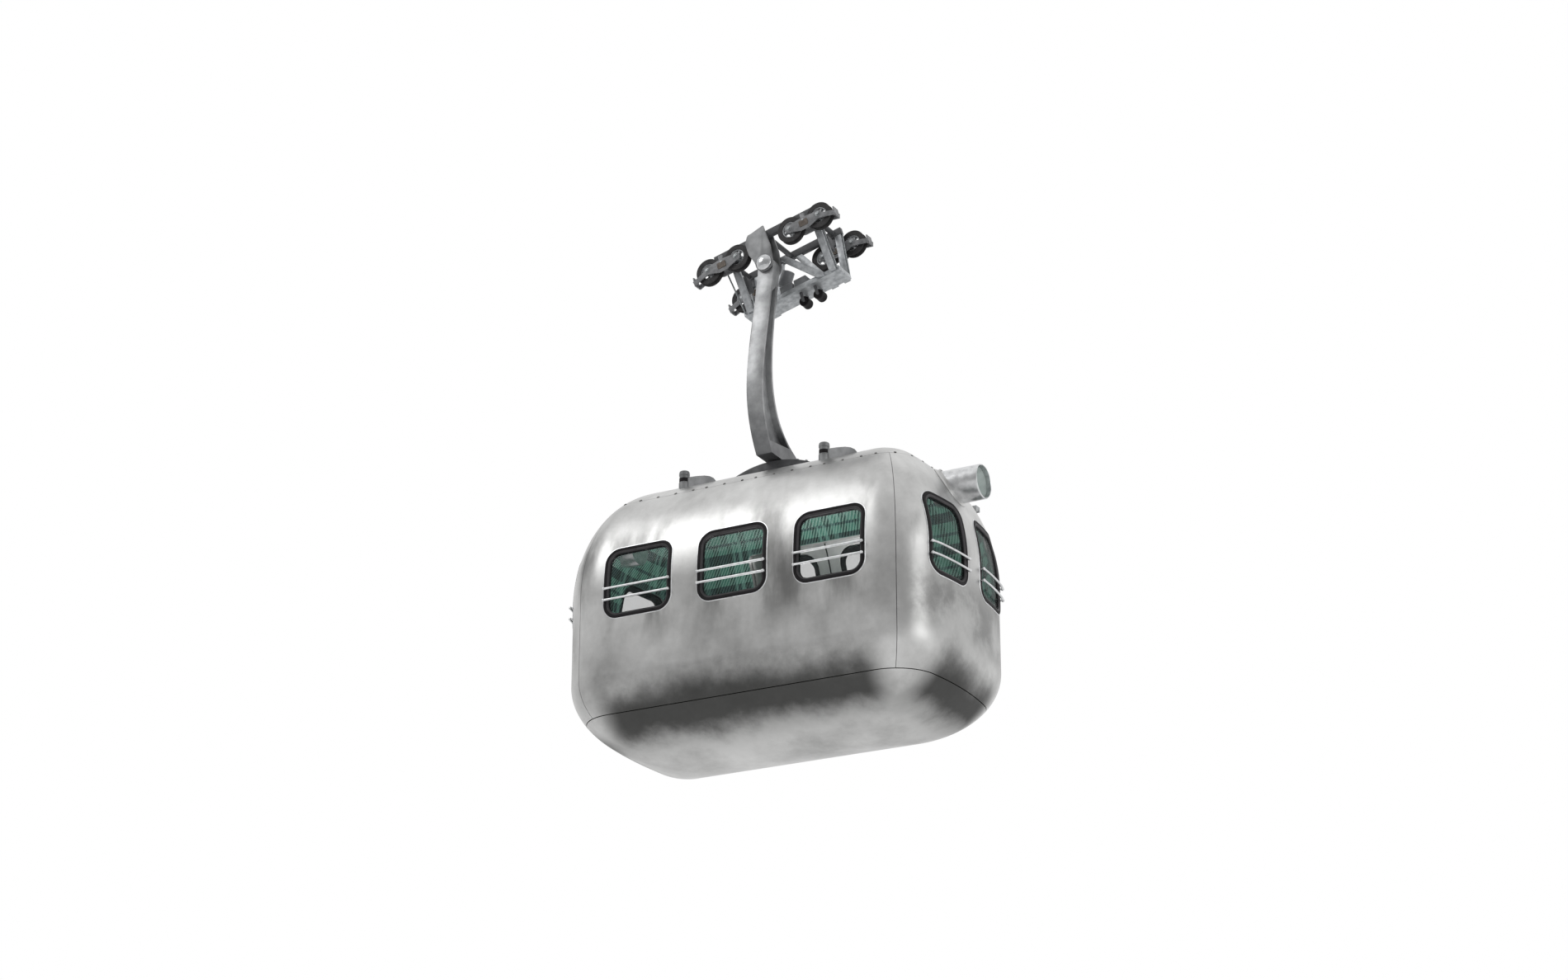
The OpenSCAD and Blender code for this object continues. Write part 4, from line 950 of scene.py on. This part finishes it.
slope = math.radians(15)
lean = np.array([(math.cos(slope), 0, math.sin(slope)), (0, 1, 0), (-math.sin(slope), 0, math.cos(slope))])


def tilted(shape):
    """The same shape moved from the carriage's own frame, which leans with the ropes, to the part's."""
    return shape[0] @ lean, shape[1]


softened("head_plate", cast, 0.004)
softened("side_beams", plate_paint, 0.004)
softened("cross_tubes", plate_paint, 0.003)
# Galvanised steel: pale grey zinc with a soft cloudy spangle.
galvanised = two_tone("hot-dip galvanised steel", "#9A9DA0", "#C6C9CB", 0.05, (0.4, 0.6), 0.003, Metallic=0.8)
softened("carriage_posts", galvanised, 0.004)
softened("carriage_braces", galvanised, 0.004)
# Polished cap: turned steel, bright and smooth with a faint tarnish.
polished = two_tone("polished turned steel", "#BFC1C3", "#DDDEDF", 0.05, (0.12, 0.25), 0.004, Metallic=1.0)
pin_low, pin_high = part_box("pivot_pin")
pin_z = (pin_low.z + pin_high.z) / 2
cap_turn = np.linspace(math.asin(0.070 / 0.116), 0, 14)
cap_profile = [(0.0, 0.0), (0.070, 0.0), (0.073, 0.003), (0.073, 0.0100)]
cap_profile += list(zip(0.116 * np.sin(cap_turn), 0.116 * np.cos(cap_turn) - 0.116 + (-0.3773 - pin_low.y)))
cap_seat = -0.3773
piece("pivot_cap", turned(cap_profile, (0, cap_seat, pin_z), (0, -1, 0), 64), polished, "carriage",
      ["pivot_pin"])
back_profile = [(0, 0), (0.050, 0), (0.052, 0.002), (0.052, 0.018), (0.050, 0.020), (0.030, 0.020),
                (0.030, 0.0215),
                (0, 0.0215)]
shaft_l = -cap_seat - 0.1965             # from the cap to the back washer
shaft_profile = [(0, 0), (0.0299, 0), (0.0299, shaft_l), (0, shaft_l)]
piece("pivot_shaft", joined([turned(back_profile, (0, -0.1967, pin_z), (0, 1, 0), 48),
                             turned(shaft_profile, (0, cap_seat, pin_z), (0, 1, 0), 48)]),
      zinc, "carriage")

# ---- Service tray and running gear ----
# Under the frame hangs a folded tray with two relay boxes, a brake motor and two clamp housings.
# Thin tie rods brace it, and two rubber rollers below keep the haul rope off the tray.

softened("service_tray", galvanised, 0.003)
# Stove-enamelled box: plain mid grey, smooth, with dust in its hollows.
enamel = two_tone("stove-enamelled grey steel", "#6C6E70", "#85878A", 0.2, (0.3, 0.45), 0.005)
softened("control_boxes", enamel, 0.008)
softened("drive_motor", enamel, 0.004)
softened("brake_units", plate_paint, 0.006)
softened("tie_rods", zinc, 0.001)
softened("roller_brackets", plate_paint, 0.002)
roller_profile = [(0.0122, -0.048), (0.030, -0.048), (0.032, -0.044), (0.040, -0.044), (0.044, -0.046),
                  (0.046, -0.042), (0.046, -0.030), (0.0445, -0.022), (0.0445, 0.022), (0.046, 0.030),
                  (0.046, 0.042), (0.044, 0.046), (0.040, 0.044), (0.032, 0.044), (0.030, 0.048),
                  (0.0122, 0.048), (0.0122, -0.048)]
for name in ("front", "rear"):
    low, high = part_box(f"guide_roller_{name}")
    middle = (low + high) / 2
    piece(f"roller_{name}_rubber", turned(roller_profile, middle, (0, 1, 0), 48), rubber,
          f"guide_roller_{name}",
          [f"guide_roller_{name}"])

# ---- Bogies and wheels ----
# Four bogies of two wheels carry the frame. Flat steel cheeks hold each pair, a pad scrapes ice off
# the rope ahead of the outer wheels, and the wheels are cast hubs with replaceable black tyres.

# Cheek paint: mid grey, with oil darkening it in soft patches.
cheek_paint = two_tone("oiled grey paint", "#5E5F61", "#8A8B8D", 0.06, (0.35, 0.55), 0.003)
# Hub block: bare forged steel gone brown and grey.
forged = two_tone("browned forged steel", "#4D4640", "#6E665F", 0.05, (0.45, 0.65), 0.003, Metallic=0.6)
wheel_up, half_wheels, cheek_out = 0.1, 0.1465, 0.053
for bogie_name, u, y in (("near_front", 0.42, -0.315), ("near_rear", -0.42, -0.315),
                         ("far_front", 0.42, 0.315), ("far_rear", -0.42, 0.315)):
    softened("bogie_" + bogie_name, cheek_paint, 0.003)
    nuts = [bolt((u + s * half_wheels, y + face * cheek_out, wheel_up), (0, face, 0), 0.024, 0.014)
            for s in (-1, 1) for face in (-1, 1)]
    nuts += [bolt((u, y + face * cheek_out, 0.115), (0, face, 0), 0.015, 0.010) for face in (-1, 1)]
    piece(f"bogie_{bogie_name}_nuts", tilted(joined(nuts)), zinc, "carriage")
    ring = rounded(0.086, 0.060, 0.012, 5)
    plates = []
    for face in (-1, 1):
        rings = np.stack([np.stack([u + grow * ring[:, 0], np.full(len(ring), y + face * (cheek_out + off)),
                                    0.085 + grow * ring[:, 1]], -1)
                          for grow, off in ((1, -0.002), (1, 0.004), (0.94, 0.006))])
        plates.append(loft(rings))
    piece(f"bogie_{bogie_name}_hubs", tilted(joined(plates)), forged, "carriage")

# Tyre rubber and hub casting.
tyre_rubber = two_tone("worn black tyre rubber", "#161516", "#2C2A2B", 0.03, (0.5, 0.75), 0.002)
hub_cast = two_tone("brushed hub casting", "#8D8F91", "#B5B7B9", 0.03, (0.35, 0.55), 0.002, Metallic=0.9)
half_tyre = [(0.0735, -0.033), (0.116, -0.033), (0.120, -0.029), (0.120, -0.026), (0.104, -0.0165),
             (0.0925, -0.0140), (0.0868, -0.0075)]
tyre_profile = half_tyre + [(0.086, 0)] + [(r, -w) for r, w in half_tyre[::-1]] + half_tyre[:1]
rim_profile = [(0.064, -0.026), (0.0725, -0.028), (0.074, -0.026), (0.074, 0.026), (0.0725, 0.028),
               (0.064, 0.026),
               (0.062, 0.010), (0.062, -0.010), (0.064, -0.026)]
boss_profile = [(0.0202, -0.032), (0.030, -0.032), (0.033, -0.029), (0.036, -0.012), (0.036, 0.012),
                (0.033, 0.029),
                (0.030, 0.032), (0.0202, 0.032), (0.0202, -0.032)]
spoke_ring = rounded(0.030, 0.034, 0.007, 4)
number = 0
for y in (-0.315, 0.315):
    for u in (-0.42 - half_wheels, -0.42 + half_wheels, 0.42 - half_wheels, 0.42 + half_wheels):
        number += 1
        middle = np.array((u, y, wheel_up))
        spokes = []
        for turn in np.radians((60, 180, 300)):
            reach = np.array((math.cos(turn), 0, math.sin(turn)))
            cross = np.array((-math.sin(turn), 0, math.cos(turn)))
            rings = np.stack([middle + reach * at + np.outer(spoke_ring[:, 0] * wide, cross)
                              + np.outer(spoke_ring[:, 1], (0, 1, 0))
                              for at, wide in ((0.030, 0.9), (0.048, 0.7), (0.066, 1.1))])
            spokes.append(loft(rings))
        piece(f"wheel_{number}_tyre", tilted(turned(tyre_profile, middle, (0, 1, 0), 72)), tyre_rubber,
              f"wheel_{number}", [f"wheel_{number}"])
        piece(f"wheel_{number}_hub", tilted(joined([turned(rim_profile, middle, (0, 1, 0), 64),
                                                    turned(boss_profile, middle, (0, 1, 0), 40)] + spokes)),
              hub_cast, f"wheel_{number}")
